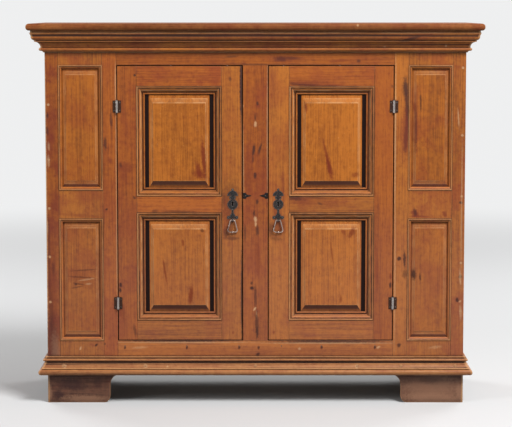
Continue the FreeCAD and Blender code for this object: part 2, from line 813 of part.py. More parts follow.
def make_staple():
    """An eye round the bail's top bar, on a shank driven through plate and stile."""
    eye = Part.makeTorus(staple_radius, staple_wire_radius, Vector(key_x, bail_y, bail_z),
                         Vector(1, 0, 0))
    shank = front_rod(key_x, bail_z, bail_y + staple_radius, face_y + staple_depth,
                      staple_wire_radius)
    return eye.fuse(shank)


def make_door():
    """The pieces of the right-hand door, closed."""
    door = {}
    hinge_stile = member(door_panel_outer, door_outer, door_bottom, door_top)
    lock_stile = member(door_inner, door_panel_inner, door_bottom, door_top)
    levels = {"top_rail": (door_upper_top, door_top),
              "middle_rail": (door_lower_top, door_upper_bottom),
              "bottom_rail": (door_bottom, door_lower_bottom)}
    openings = {"upper_panel": (door_panel_inner, door_panel_outer, door_upper_bottom,
                                door_upper_top),
                "lower_panel": (door_panel_inner, door_panel_outer, door_lower_bottom,
                                door_lower_top)}
    inset = (moulding_width + panel_side_margin, moulding_width + panel_end_margin)
    for name, (z0, z1) in levels.items():
        span = (door_panel_inner, door_panel_outer, z0, z1)
        door[name] = member(*span).fuse(side_tenons(*span, door_tenon_length))
        mortises = side_tenons(*span, door_tenon_length, joint_fit)
        hinge_stile = hinge_stile.cut(mortises)
        lock_stile = lock_stile.cut(mortises)
    sticks = []
    for name, opening in openings.items():
        groove = panel_groove(opening, panel_setback)
        hinge_stile = hinge_stile.cut(groove)
        lock_stile = lock_stile.cut(groove)
        for rail in levels:
            door[rail] = door[rail].cut(groove)
        door[name] = raised_panel(opening, panel_setback, panel_field_rise, inset,
                                  (panel_side_bevel, panel_foot_bevel, panel_head_bevel))
        sticks += mitred_sticks(opening, door_moulding_profile(), moulding_width)
    door["mouldings"] = Part.makeCompound(sticks)
    lock_case, bolt = make_lock()
    door["hinge_stile"] = hinge_stile
    door["lock_stile"] = lock_stile.cut(lock_body(joint_fit)).cut(keyhole(face_y, frame_back_y))
    door["lock_case"] = lock_case
    door["lock_bolt"] = bolt
    door["bail"] = make_bail()
    staple = make_staple()
    shank_hole = front_rod(key_x, bail_z, face_y - 2 * plate_thickness,
                           face_y + staple_depth + joint_fit,
                           staple_wire_radius + fastener_fit)
    door["bail_staple"] = staple
    door["escutcheon"] = make_escutcheon().cut(shank_hole)
    door["lock_stile"] = door["lock_stile"].cut(shank_hole)

    leaf_z = key_z - bail_pivot_drop + plate_leaf_radius
    lobe = plate_leaf_radius + plate_lobe_radius
    shield_foot = key_z - key_rise - plate_body_radius
    plate_nails = [(key_x, key_z + plate_finial_rise()), (key_x, shield_foot),
                   (key_x - lobe, leaf_z), (key_x + lobe, leaf_z)]
    leaf_nails = hinge_nail_places(-1)
    plate_seat = face_y - plate_thickness
    leaf_seat = face_y - hinge_leaf_thickness
    nails = [nail(x, z, plate_seat) for x, z in plate_nails]
    nails += [nail(x, z, leaf_seat) for x, z in leaf_nails]
    plate_holes = Part.makeCompound([nail_hole(x, z, plate_seat) for x, z in plate_nails])
    leaf_holes = Part.makeCompound([nail_hole(x, z, leaf_seat) for x, z in leaf_nails])
    door["hinge_leaves"] = Part.makeCompound([make_hinge(level)[1].cut(leaf_holes)
                                              for level in hinge_levels])
    door["hinge_stile"] = door["hinge_stile"].cut(leaf_holes)
    door["escutcheon"] = door["escutcheon"].cut(plate_holes)
    door["lock_stile"] = door["lock_stile"].cut(plate_holes)
    door["nails"] = Part.makeCompound(nails)
    return door


def make_fittings():
    """The case's share of the hinges, and the strikes for the lock bolts."""
    frame_leaves = []
    pins = []
    for level in hinge_levels:
        frame_leaf, _, pin = make_hinge(level)
        frame_leaves.append(frame_leaf)
        pins.append(pin)
    strike = make_strike()
    keep("frame_hinge_leaves", *frame_leaves, *map(mirrored, frame_leaves))
    keep("hinge_pins", *pins, *map(mirrored, pins))
    keep("strike_plates", strike, mirrored(strike))
    edge = door_opening_inner
    entry = bolt_bar(edge - bolt_throw - mortise_clear, edge, mortise_clear)
    seat = strike_return_wing()
    cuts = Part.makeCompound([entry, seat, mirrored(entry), mirrored(seat)])
    keep("centre_stile", pieces["centre_stile"].cut(cuts))


def make_pegs():
    """Pegs that hold the corner stiles and the base moulding."""
    x = half_width - side_thickness / 2
    height = cornice_bottom - base_top
    corner_places = [(-x, base_top + share * height) for share in left_peg_levels]
    corner_places += [(x, base_top + share * height) for share in right_peg_levels]
    base_z = case_bottom + base_torus_height + base_line_height + base_slope_height / 2
    base_face = face_y - (base_slope_foot_projection + base_slope_top_projection) / 2
    base_places = [(share * half_width, base_z) for share in base_peg_stations]
    pegs = []
    holes = []
    for places, face, depth, radius in (
            (corner_places, face_y, peg_depth, peg_radius),
            (base_places, base_face, base_peg_depth, base_peg_radius)):
        for px, pz in places:
            pegs.append(front_rod(px, pz, face - peg_proud, face + depth, radius))
            holes.append(front_rod(px, pz, face - frame_thickness, face + depth + fastener_fit,
                                   radius + fastener_fit))
    keep("case_pegs", *pegs)
    drill(("left_corner_stile", "right_corner_stile", "left_side", "right_side",
           "left_inner_stile", "right_inner_stile", "bottom_rail", "flank_rails",
           "base_front"), holes)


def make_case_nails():
    """Nails through the frame leaves, the strikes and the bottom rail."""
    leaf_places = hinge_nail_places(1)
    leaf_places += [(-x, z) for x, z in leaf_places]
    strike_x = door_opening_inner - strike_barb_inset
    strike_places = [(strike_x, bolt_z), (-strike_x, bolt_z)]
    rail_z = bottom_board_bottom + bottom_board_thickness / 2
    rail_places = [(share * door_opening_outer, rail_z) for share in rail_nail_stations]
    nails = []
    holes = []
    for places, seat, depth in ((leaf_places, face_y - hinge_leaf_thickness, nail_depth),
                                (strike_places, face_y - strike_thickness, nail_depth),
                                (rail_places, face_y, rail_nail_depth)):
        nails += [nail(x, z, seat, depth) for x, z in places]
        holes += [nail_hole(x, z, seat, depth) for x, z in places]
    keep("case_nails", *nails)
    drill(("frame_hinge_leaves", "left_inner_stile", "right_inner_stile", "strike_plates",
           "centre_stile", "bottom_rail", "bottom_board"), holes)


make_front_frame()
make_boards()
make_feet()
make_cornice()
make_base_moulding()
make_top_board()
make_fittings()
for piece_name, piece in make_door().items():
    keep("right_door_" + piece_name, piece)
    keep("left_door_" + piece_name, mirrored(piece))
make_pegs()
make_case_nails()

os.makedirs("parts", exist_ok=True)
for piece_name, piece in pieces.items():
    piece.exportStep("parts/" + piece_name + ".step")
print(len(pieces), "pieces, case", 2 * half_width, "wide,", case_top + top_board_thickness, "high")
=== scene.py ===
import json
import random
from math import radians
import bmesh
import bpy
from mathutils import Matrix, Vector

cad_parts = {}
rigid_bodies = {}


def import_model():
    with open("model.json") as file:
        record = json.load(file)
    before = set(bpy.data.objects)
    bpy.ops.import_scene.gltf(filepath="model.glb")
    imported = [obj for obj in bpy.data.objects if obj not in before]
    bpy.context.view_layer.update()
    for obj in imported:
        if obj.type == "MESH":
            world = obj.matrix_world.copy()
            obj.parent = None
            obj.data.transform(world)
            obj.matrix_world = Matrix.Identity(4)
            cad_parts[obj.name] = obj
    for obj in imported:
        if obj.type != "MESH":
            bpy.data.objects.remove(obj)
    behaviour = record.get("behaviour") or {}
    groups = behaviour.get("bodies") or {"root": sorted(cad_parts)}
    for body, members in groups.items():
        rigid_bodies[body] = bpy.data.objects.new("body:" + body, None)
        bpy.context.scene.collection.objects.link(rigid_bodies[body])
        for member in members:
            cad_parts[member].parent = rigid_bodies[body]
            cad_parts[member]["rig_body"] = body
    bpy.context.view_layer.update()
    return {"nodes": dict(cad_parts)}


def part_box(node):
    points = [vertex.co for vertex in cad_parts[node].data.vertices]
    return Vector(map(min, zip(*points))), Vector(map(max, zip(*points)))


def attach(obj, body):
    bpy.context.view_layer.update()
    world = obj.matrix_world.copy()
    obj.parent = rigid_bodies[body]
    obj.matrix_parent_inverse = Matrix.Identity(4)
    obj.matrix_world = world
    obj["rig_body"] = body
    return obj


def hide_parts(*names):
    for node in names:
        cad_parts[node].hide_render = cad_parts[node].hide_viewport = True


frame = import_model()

# A pine kas cupboard with iron fittings, in metres: +X right, +Y back, +Z up.

# ---- How the pieces are worked ----
arris_round = 0.0007          # taken off the corners that the joiner left square
arris_angle = radians(50)     # a corner sharper than this is rounded
smooth_angle = radians(42)    # facets that meet at less than this are shaded as one curve
flat_angle = radians(0.2)     # and at less than this they are one flat face
same_place = 1e6              # corners nearer than a thousandth of a millimetre are one
facing = 0.5                  # a face this square to a direction counts as facing it
ring_pitch = 0.0068           # from one year's ring to the next
ring_wander = 0.014           # how far the rings stray from true circles
ring_taper = 0.006            # and how much they drift along the board
ring_side = 0.050             # where the heart of the tree lies beside and behind a board
ring_near = 0.030
ring_far = 0.160
trunk_length = 9.0            # boards are cut somewhere along this
upright_grain = ("flank_rails",)
# Members that meet flush keep their arrises square, so that their joints stay closed.
flush = ("flank_rails", "left_corner_stile", "right_corner_stile", "left_inner_stile",
         "right_inner_stile", "centre_stile", "top_rail", "bottom_rail")
moulded = ("left_door_mouldings", "right_door_mouldings", "flank_mouldings", "cornice_front",
           "cornice_left", "cornice_right", "base_front", "base_left", "base_right")
groove_angle = radians(35)    # a hollow corner sharper than this gets grime and painted shade
hollow_reach = 0.0032         # and the darkening reaches this far up its sides

# ---- How the surfaces vary ----
# Noise per metre along, across and through a board, or alike in all directions.
ring_grain = (1.6, 8.0, 8.0)
streak_grain = (5.0, 260.0, 260.0)
fibre_grain = (20.0, 700.0, 700.0)
broad_grain = (1.5, 12.0, 12.0)
pore_grain = (34.0, 280.0, 280.0)
patina_scale = 9.0
mottle_scale = 62.0
nick_scale = 190.0
# Grime and painted shade darken the wood near hollows.
deep_reach = 0.006            # how near a hollow the wood is black, and how near it is darkened
near_reach = 0.030
corner_reach = 0.0055         # how near an outward corner wood is rubbed pale, and iron bright
iron_corner_reach = 0.0016
wood_relief = 0.0006          # how deep the bumps of each surface are
iron_relief = 0.0008
peg_relief = 0.0003
ragged_scale = 150.0          # how fine the ragged edge of a mark is, and how far it strays
ragged_reach = 1.3
mark_edge = 1.25              # a mark ends here, as a share of its half width and half length,
mark_full = 0.40              # and is at full strength from here inwards
mark_depth = 1000.0           # so deep that it shows alike all through a piece

# ---- Lines on panels and mouldings: wear, grime, painted highlight and painted shade ----
door_bevels = (0.0140, 0.0225, 0.0290)    # a raised field's bevels: at the sides, foot and head
flank_bevels = (0.0130, 0.0200, 0.0200)
edge_line = 0.0024            # how far inside the opening each line of a door's moulding lies
outer_quirk = (0.0060, 0.0088)
crest_line = (0.0126, 0.0162)
inner_quirk = (0.0190, 0.0212)
line_soft = 0.0006
mitre_soft = 0.001            # over this width one stick's lines give way to the next one's
knuckle_front = -0.2165       # where a hinge's knuckle is rubbed most, and not at all
knuckle_side = -0.2130

# ---- Colours ----
pine_light = (0.450, 0.139, 0.020)
pine_dark = (0.215, 0.060, 0.012)
pine_red = (0.235, 0.036, 0.013)
flank_light = (0.455, 0.134, 0.018)
nose_light = (0.460, 0.152, 0.040)
ruddy_light = (0.440, 0.116, 0.016)
ruddy_dark = (0.210, 0.047, 0.010)
# Pale rubbed wood, and the colour of painted highlight lines:
pine_rubbed_and_lit = (0.700, 0.365, 0.155)
pine_raw = (0.370, 0.215, 0.112)
base_light = (0.470, 0.190, 0.062)
base_dark = (0.240, 0.078, 0.024)
foot_light = (0.150, 0.064, 0.036)
foot_dark = (0.036, 0.015, 0.010)
peg_light = (0.500, 0.250, 0.110)
peg_dark = (0.300, 0.120, 0.045)
# Grime, and painted shade in hollows, quirks and on the black panel margins.
grime_and_shade_colour = (0.020, 0.007, 0.005)
# A painted cast of bluish floor light on the low parts of the case:
low_floor_light_colour = (0.400, 0.180, 0.150)
low_floor_light_top = 0.85               # painted floor light greys the wood from here down to
low_floor_light_full = 0.35              # here
# Painted shade on downward bevels and on the sides of stiles and rails in the gaps:
shade_paint_colour = (0.050, 0.017, 0.014)
# Colours of the marks: stains and spots, painted shadow lines and painted highlight lines.
stain_and_shade_colours = {"dark": (0.035, 0.011, 0.009), "red": (0.165, 0.026, 0.011),
                 "pale": (0.740, 0.460, 0.240), "umber": (0.290, 0.142, 0.080)}
iron_dark = (0.012, 0.011, 0.0115)
iron_rust = (0.048, 0.021, 0.013)
iron_worn = (0.370, 0.275, 0.230)
iron_bright = (0.620, 0.570, 0.530)
studio_pale = (0.860, 0.865, 0.870)


# ---- Meshes ----
def solids_of(mesh):
    """The triangles of each closed solid. They lie one solid after another in the mesh."""
    keys = [tuple(round(value * same_place) for value in vertex.co) for vertex in mesh.vertices]
    open_edges = set()
    groups = [[]]
    for polygon in mesh.polygons:
        corners = [keys[index] for index in polygon.vertices]
        groups[-1].append(corners)
        for edge in zip(corners, corners[1:] + corners[:1]):
            if edge[::-1] in open_edges:
                open_edges.remove(edge[::-1])
            else:
                open_edges.add(edge)
        if not open_edges:
            groups.append([])
    return [group for group in groups if group]


def welded(triangles):
    """One solid as a mesh whose triangles share their corners, its flat faces made whole."""
    mesh = bmesh.new()
    vertices = {}
    for corners in triangles:
        for key in corners:
            if key not in vertices:
                vertices[key] = mesh.verts.new([value / same_place for value in key])
        if len(set(corners)) == len(corners):
            mesh.faces.new([vertices[key] for key in corners])
    bmesh.ops.dissolve_limit(mesh, angle_limit=flat_angle, verts=mesh.verts, edges=mesh.edges)
    return mesh


def round_arrises(mesh, size):
    """Take the sharpness off the outward corners."""
    sharp = [edge for edge in mesh.edges
             if edge.is_manifold and edge.calc_face_angle_signed(0.0) > arris_angle
             and edge.calc_length() > 4 * size]
    bmesh.ops.bevel(mesh, geom=sharp, offset=size, offset_type="OFFSET", segments=2,
                    profile=0.5, affect="EDGES", clamp_overlap=False, loop_slide=True)
    mesh.normal_update()


def lay_grain(mesh, node, index, raw_side):
    """Store where each corner lies along, across and through its board, shifted so that no two
    boards are cut from one tree. Mark the faces that were never finished, and the side faces,
    which get painted shade in the gaps."""
    draw = random.Random(node + str(index))
    lows = [min(vertex.co[axis] for vertex in mesh.verts) for axis in range(3)]
    highs = [max(vertex.co[axis] for vertex in mesh.verts) for axis in range(3)]
    order = sorted(range(3), key=lambda axis: lows[axis] - highs[axis])
    if node in upright_grain:
        order = [2, 0, 1]
    shift = (draw.uniform(0.0, trunk_length), draw.uniform(-ring_side, ring_side),
             draw.uniform(ring_near, ring_far))
    board = draw.random()
    grain = mesh.verts.layers.float_vector.new("grain")
    tone = mesh.verts.layers.float.new("board")
    raw = mesh.faces.layers.float.new("raw")
    edge = mesh.faces.layers.float.new("edge")
    for vertex in mesh.verts:
        vertex[grain] = [vertex.co[axis] - (lows[axis] + highs[axis]) / 2 + move
                         for axis, move in zip(order, shift)]
        vertex[tone] = board
    for face in mesh.faces:
        face[raw] = float(face.normal.dot(raw_side) > facing)
        face[edge] = float(abs(face.normal.y) < facing)


def lay_hollows(mesh):
    """Store how near each corner is to the bottom of a groove in its solid: 1 at the bottom."""
    grooves = [[vertex.co.copy() for vertex in edge.verts] for edge in mesh.edges
               if edge.is_manifold and edge.calc_face_angle_signed(0.0) < -groove_angle]
    hollow = mesh.verts.layers.float.new("hollow")
    for vertex in mesh.verts:
        nearest = hollow_reach
        for start, end in grooves:
            along = end - start
            share = (vertex.co - start).dot(along) / along.length_squared
            foot = start + along * min(max(share, 0.0), 1.0)
            nearest = min(nearest, (vertex.co - foot).length)
        vertex[hollow] = 1 - nearest / hollow_reach


def lay_field(mesh):
    """Store how far each corner lies inside the front face, from its low and high sides."""
    front = min(vertex.co.y for vertex in mesh.verts)
    level = [vertex.co for vertex in mesh.verts if vertex.co.y < front + arris_round / 2]
    low = mesh.verts.layers.float_vector.new("low")
    high = mesh.verts.layers.float_vector.new("high")
    lows = [min(place[axis] for place in level) for axis in range(3)]
    highs = [max(place[axis] for place in level) for axis in range(3)]
    for vertex in mesh.verts:
        vertex[low] = [vertex.co[axis] - lows[axis] for axis in range(3)]
        vertex[high] = [highs[axis] - vertex.co[axis] for axis in range(3)]


def worked(node):
    """A piece that stands for a CAD node: the same solids, with their arrises rounded unless the
    piece meets others flush.
    """
    source = frame["nodes"][node]
    raw_side = Vector((0, 1, 0))              # the way its unfinished side faces, if any
    if node in ("left_side", "right_side"):
        raw_side = Vector((-1 if node == "right_side" else 1, 0, 0))
    if node in ("back_boards", "top_board", "front_feet"):
        raw_side = Vector((0, 0, 0))
    whole = bmesh.new()
    for index, triangles in enumerate(solids_of(source.data)):
        solid = welded(triangles)
        if node not in flush:
            round_arrises(solid, arris_round)
        lay_grain(solid, node, index, raw_side)
        lay_field(solid)
        if node in moulded:
            lay_hollows(solid)
        part = bpy.data.meshes.new(node)
        solid.to_mesh(part)
        solid.free()
        whole.from_mesh(part)
        bpy.data.meshes.remove(part)
    data = bpy.data.meshes.new(node + "_worked")
    whole.to_mesh(data)
    whole.free()
    for polygon in data.polygons:
        polygon.use_smooth = True
    data.set_sharp_from_angle(angle=smooth_angle)
    piece = bpy.data.objects.new(node + "_worked", data)
    bpy.context.scene.collection.objects.link(piece)
    even = piece.modifiers.new("even_shading", "WEIGHTED_NORMAL")
    even.keep_sharp = True
    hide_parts(node)
    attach(piece, source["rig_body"])
    return piece


# ---- Shader nodes ----
class Tree:
    """Short ways to add nodes to a material or a world."""

    def __init__(self, owner):
        owner.use_nodes = True
        self.owner = owner
        self.tree = owner.node_tree
        self.shader = self.tree.nodes.get("Principled BSDF")

    def node(self, kind, **settings):
        made = self.tree.nodes.new("ShaderNode" + kind)
        for name, value in settings.items():
            setattr(made, name, value)
        return made

    def plug(self, socket, value):
        if isinstance(value, bpy.types.NodeSocket):
            self.tree.links.new(value, socket)
        elif socket.type == "RGBA":
            socket.default_value = (*value[:3], 1.0)
        else:
            socket.default_value = value

    def math(self, operation, *values):
        made = self.node("Math", operation=operation)
        for socket, value in zip(made.inputs, values):
            self.plug(socket, value)
        return made.outputs[0]

    def product(self, *values):
        result = values[0]
        for value in values[1:]:
            result = self.math("MULTIPLY", result, value)
        return result

    def total(self, *values):
        """The sum of values, each a socket, a number or a (socket, weight, middle) triple."""
        result = 0.0
        for value in values:
            if isinstance(value, tuple):
                socket, weight, middle = value
                value = self.product(self.math("SUBTRACT", socket, middle), weight)
            result = self.math("ADD", result, value)
        return result

    def attribute(self, name, output="Fac"):
        return self.node("Attribute", attribute_name=name).outputs[output]

    def split(self, vector):
        made = self.node("SeparateXYZ")
        self.plug(made.inputs[0], vector)
        return made.outputs

    def place(self):
        """Where the point lies on the object at rest."""
        return self.node("TexCoord").outputs["Object"]

    def stretched(self, vector, scale):
        made = self.node("VectorMath", operation="MULTIPLY")
        self.plug(made.inputs[0], vector)
        self.plug(made.inputs[1], scale)
        return made.outputs[0]

    def noise(self, vector, scale=1.0, detail=2.0, rough=0.5, output="Fac"):
        made = self.node("TexNoise")
        for name, given in (("Vector", vector), ("Scale", scale), ("Detail", detail),
                            ("Roughness", rough)):
            self.plug(made.inputs[name], given)
        return made.outputs[output]

    def step(self, value, start, end, low=0.0, high=1.0):
        """A smooth change from low to high as value goes from start to end."""
        made = self.node("MapRange", interpolation_type="SMOOTHSTEP")
        for name, given in (("Value", value), ("From Min", start), ("From Max", end),
                            ("To Min", low), ("To Max", high)):
            self.plug(made.inputs[name], given)
        return made.outputs["Result"]

    def band(self, value, start, end, soft):
        """1 where value lies between start and end, with soft edges."""
        return self.product(self.step(value, start - soft, start + soft),
                            self.step(value, end + soft, end - soft))

    def mix(self, share, first, second):
        made = self.node("Mix", data_type="RGBA", clamp_factor=True)
        sockets = [socket for socket in made.inputs if socket.type == "RGBA"]
        self.plug(made.inputs[0], share)
        self.plug(sockets[0], first)
        self.plug(sockets[1], second)
        return next(socket for socket in made.outputs if socket.type == "RGBA")

    def shown(self):
        """1 for rays from the camera, and for those that metal or glass sends on."""
        rays = self.node("LightPath").outputs
        total = self.math("ADD", rays["Is Camera Ray"], rays["Is Glossy Ray"])
        return self.math("MINIMUM", self.math("ADD", total, rays["Is Transmission Ray"]), 1.0)

    def openness(self, reach, inside=False):
        """1 in the open, and less within reach of a hollow, or of an outward corner if inside."""
        made = self.node("AmbientOcclusion", samples=6, inside=inside, only_local=inside)
        self.plug(made.inputs["Distance"], reach)
        return made.outputs["AO"]

    def surface(self, colour, rough, height, depth):
        self.plug(self.shader.inputs["Base Color"], colour)
        self.plug(self.shader.inputs["Roughness"], rough)
        made = self.node("Bump")
        self.plug(made.inputs["Height"], height)
        self.plug(made.inputs["Distance"], depth)
        self.plug(self.shader.inputs["Normal"], made.outputs[0])


def scaled(colour, shade):
    return tuple(value * shade for value in colour)


# ---- Wood ----
def year_rings(tree, grain):
    """The dark late wood of the year's rings round the heart of the tree."""
    along, across, through = tree.split(grain)
    wander = tree.noise(tree.stretched(grain, ring_grain), detail=3.0)
    radius = tree.math("SQRT", tree.math("ADD", tree.math("POWER", across, 2.0),
                                         tree.math("POWER", through, 2.0)))
    radius = tree.total(radius, (wander, ring_wander, 0.5), (along, ring_taper, 0.0))
    ring = tree.math("FRACT", tree.math("DIVIDE", radius, ring_pitch))
    return tree.product(tree.step(ring, 0.25, 0.92), tree.step(ring, 1.0, 0.93))


def marked(tree, colour, marks):
    """Lay soft-edged streaks, stains and spots over a colour. Each has a kind, its place (x, z),
    its half length and half width, the angle of its length from upright, and a strength."""
    if not marks:
        return colour
    place = tree.place()
    ragged = tree.node("VectorMath", operation="MULTIPLY_ADD")
    tree.plug(ragged.inputs[0], tree.noise(place, ragged_scale, 4.0, 0.65, "Color"))
    tree.plug(ragged.inputs[1], (ragged_reach,) * 3)
    tree.plug(ragged.inputs[2], (-ragged_reach / 2,) * 3)
    for kind, x, z, length, width, angle, strength in marks:
        local = tree.node("Mapping", vector_type="TEXTURE")
        tree.plug(local.inputs["Vector"], place)
        tree.plug(local.inputs["Location"], (x, 0.0, z))
        tree.plug(local.inputs["Rotation"], (0.0, radians(angle), 0.0))
        tree.plug(local.inputs["Scale"], (width, mark_depth, length))
        torn = tree.node("VectorMath", operation="ADD")
        tree.plug(torn.inputs[0], local.outputs[0])
        tree.plug(torn.inputs[1], ragged.outputs[0])
        away = tree.node("VectorMath", operation="LENGTH")
        tree.plug(away.inputs[0], torn.outputs[0])
        share = tree.step(away.outputs["Value"], mark_edge, mark_full, 0.0, strength)
        colour = tree.mix(share, colour, stain_and_shade_colours[kind])
    return colour


def pine(name, light=pine_light, dark=pine_dark, shade=1.0, red=0.25, worn=0.10, marks=(),
         detail=None, lines=None, rough=0.44, gloss=0.25, broad_shade_and_soot=0.6, deep_shade_and_grime=0.97, proud=1.0,
         edges=0.0, low_floor_light=0.13):
    """Old waxed pine: rings, streaks and fibres along the board, reddened patches, grime and
    painted shade in the hollows, painted shade on the sides that face a gap, pale rubbed corners,
    a painted cast of bluish floor light low down, and bare wood on the sides that were never
    finished.

    red, worn, soot, dirt, edges and dust say how strong each of these is: soot and dirt are the
    broad and the deep darkening of the hollows, edges the painted shade in the gaps, and dust the
    painted floor light. The wear fades out at proud, as a distance behind the front. detail, marks
    and lines colour the piece's own field, its stains and painted lines, and its moulding lines."""
    tree = Tree(bpy.data.materials.new(name))
    grain = tree.attribute("grain", "Vector")
    place = tree.place()
    late = year_rings(tree, grain)
    streak = tree.noise(tree.stretched(grain, streak_grain), detail=2.0)
    fibre = tree.noise(tree.stretched(grain, fibre_grain), detail=2.0)
    broad = tree.noise(tree.stretched(grain, broad_grain), detail=2.0)
    patina = tree.noise(place, patina_scale, 5.0, 0.65)
    mottle = tree.noise(place, mottle_scale, 3.0, 0.6)
    pores = tree.noise(tree.stretched(grain, pore_grain), detail=1.0)
    nicks = tree.noise(place, nick_scale, 1.0)
    depth = tree.total(0.30, (late, 0.18, 0.3), (streak, 1.5, 0.5), (fibre, 1.2, 0.5),
                       (broad, 1.1, 0.5), (mottle, 1.3, 0.5),
                       (tree.attribute("board"), 0.2, 0.5))
    colour = tree.mix(depth, scaled(light, shade), scaled(dark, shade))
    reddened = tree.total(tree.step(patina, 0.42, 0.64, 0.0, red),
                          tree.step(mottle, 0.54, 0.72, 0.0, red / 2))
    colour = tree.mix(reddened, colour, scaled(pine_red, shade))
    colour = tree.mix(tree.step(pores, 0.66, 0.76, 0.0, 0.35), colour, scaled(pine_red, shade / 2))
    colour = tree.mix(tree.step(nicks, 0.72, 0.78, 0.0, 0.2), colour, scaled(pine_rubbed_and_lit, shade))
    colour = tree.mix(tree.step(nicks, 0.28, 0.22, 0.0, 0.35), colour, scaled(pine_red, shade / 3))
    # Painted bluish floor light greys the wood towards the bottom.
    colour = tree.mix(tree.step(tree.split(place)[2], low_floor_light_top, low_floor_light_full, 0.0, low_floor_light),
                      colour, scaled(low_floor_light_colour, shade))
    if detail:
        colour = detail(tree, colour)
    colour = marked(tree, colour, marks)

    # Grime and painted shade in and near hollows, gaps and quirks.
    deep = tree.step(tree.openness(deep_reach), 0.93, 0.45, 0.0, deep_shade_and_grime)
    near = tree.step(tree.total(tree.openness(near_reach), (patina, -0.4, 0.5)),
                     0.90, 0.42, 0.0, broad_shade_and_soot)
    groove = tree.step(tree.total(tree.attribute("hollow"), (streak, 0.5, 0.5)), 0.15, 0.75)
    hollow = tree.math("MAXIMUM", tree.math("MAXIMUM", deep, near), tree.product(groove, 0.93))
    colour = tree.mix(hollow, colour, grime_and_shade_colour)
    corner = tree.step(tree.openness(corner_reach, inside=True), 0.88, 0.52)
    behind = tree.split(tree.attribute("low", "Vector"))[1]
    rubbed = tree.product(corner, tree.step(patina, 0.34, 0.56, 0.3, 1.0),
                          tree.step(behind, proud, proud / 2), worn)
    colour = tree.mix(rubbed, colour, scaled(pine_rubbed_and_lit, shade))
    if lines:
        colour = lines(tree, colour)
    # Painted shade on the sides of stiles and rails that face a gap.
    colour = tree.mix(tree.product(tree.attribute("edge"), edges), colour, shade_paint_colour)
    bare = tree.attribute("raw")
    colour = tree.mix(bare, colour, tree.mix(depth, pine_raw, scaled(pine_raw, 0.6)))

    tree.plug(tree.shader.inputs["Specular IOR Level"], gloss)
    tree.surface(colour,
                 tree.total(rough, (streak, 0.3, 0.5), (patina, 0.25, 0.5), (hollow, 0.3, 0.0),
                            (bare, 0.35, 0.0)),
                 tree.total((late, 0.25, 0.0), (fibre, 0.7, 0.5), (streak, 0.6, 0.5),
                            (patina, 1.5, 0.5), (nicks, 0.5, 0.5)), wood_relief)
    return tree.owner


def field_parts(tree, bevels):
    """How far a point lies inside a raised field, as a share of the bevel at its sides, at its
    foot and at its nearest edge, and 1 on the bevel below the field."""
    low = tree.split(tree.attribute("low", "Vector"))
    high = tree.split(tree.attribute("high", "Vector"))
    side = tree.product(tree.math("MINIMUM", low[0], high[0]), 1 / bevels[0])
    foot = tree.product(low[2], 1 / bevels[1])
    head = tree.product(high[2], 1 / bevels[2])
    below = tree.product(tree.step(foot, 0.02, -0.04),
                         tree.step(tree.math("SUBTRACT", side, foot), -0.03, 0.03))
    edge = tree.math("MINIMUM", side, tree.math("MINIMUM", foot, head))
    return side, foot, edge, below


def field_lines(tree, colour, edge, strength):
    """Pale lines at the edge of a raised field and half way down its bevels, and a paler strip
    between them: rubbed wear and painted highlight."""
    uneven = tree.step(tree.noise(tree.place(), 22.0, 3.0), 0.38, 0.60, 0.4, 1.0)
    line = tree.band(edge, -0.09, 0.03, 0.04)
    second = tree.band(edge, -0.56, -0.46, 0.04)
    strip = tree.product(tree.band(edge, -0.50, 0.0, 0.08), 0.22)
    share = tree.math("MAXIMUM", tree.math("MAXIMUM", tree.product(line, 0.85),
                                           tree.product(second, 0.7)), strip)
    return tree.mix(tree.product(share, uneven, strength), colour, pine_rubbed_and_lit)


def door_field(tree, colour):
    """A door panel: painted shade as black margins at the sides, and on the lower bevel."""
    side, foot, edge, below = field_parts(tree, door_bevels)
    colour = field_lines(tree, colour, edge, 0.85)
    shaded = tree.product(below, tree.step(foot, -1.0, -0.45, 0.30, 0.92))
    colour = tree.mix(shaded, colour, shade_paint_colour)
    margin = tree.step(side, -0.94, -1.03)
    return tree.mix(margin, colour, scaled(grime_and_shade_colour, 0.4))


def flank_field(tree, colour):
    """A flank panel: painted shadow darkens the lower bevel towards its foot."""
    _, foot, edge, below = field_parts(tree, flank_bevels)
    colour = field_lines(tree, colour, edge, 0.55)
    shaded = tree.product(below, tree.step(foot, -0.45, -0.75, 0.15, 0.8))
    return tree.mix(shaded, colour, shade_paint_colour)


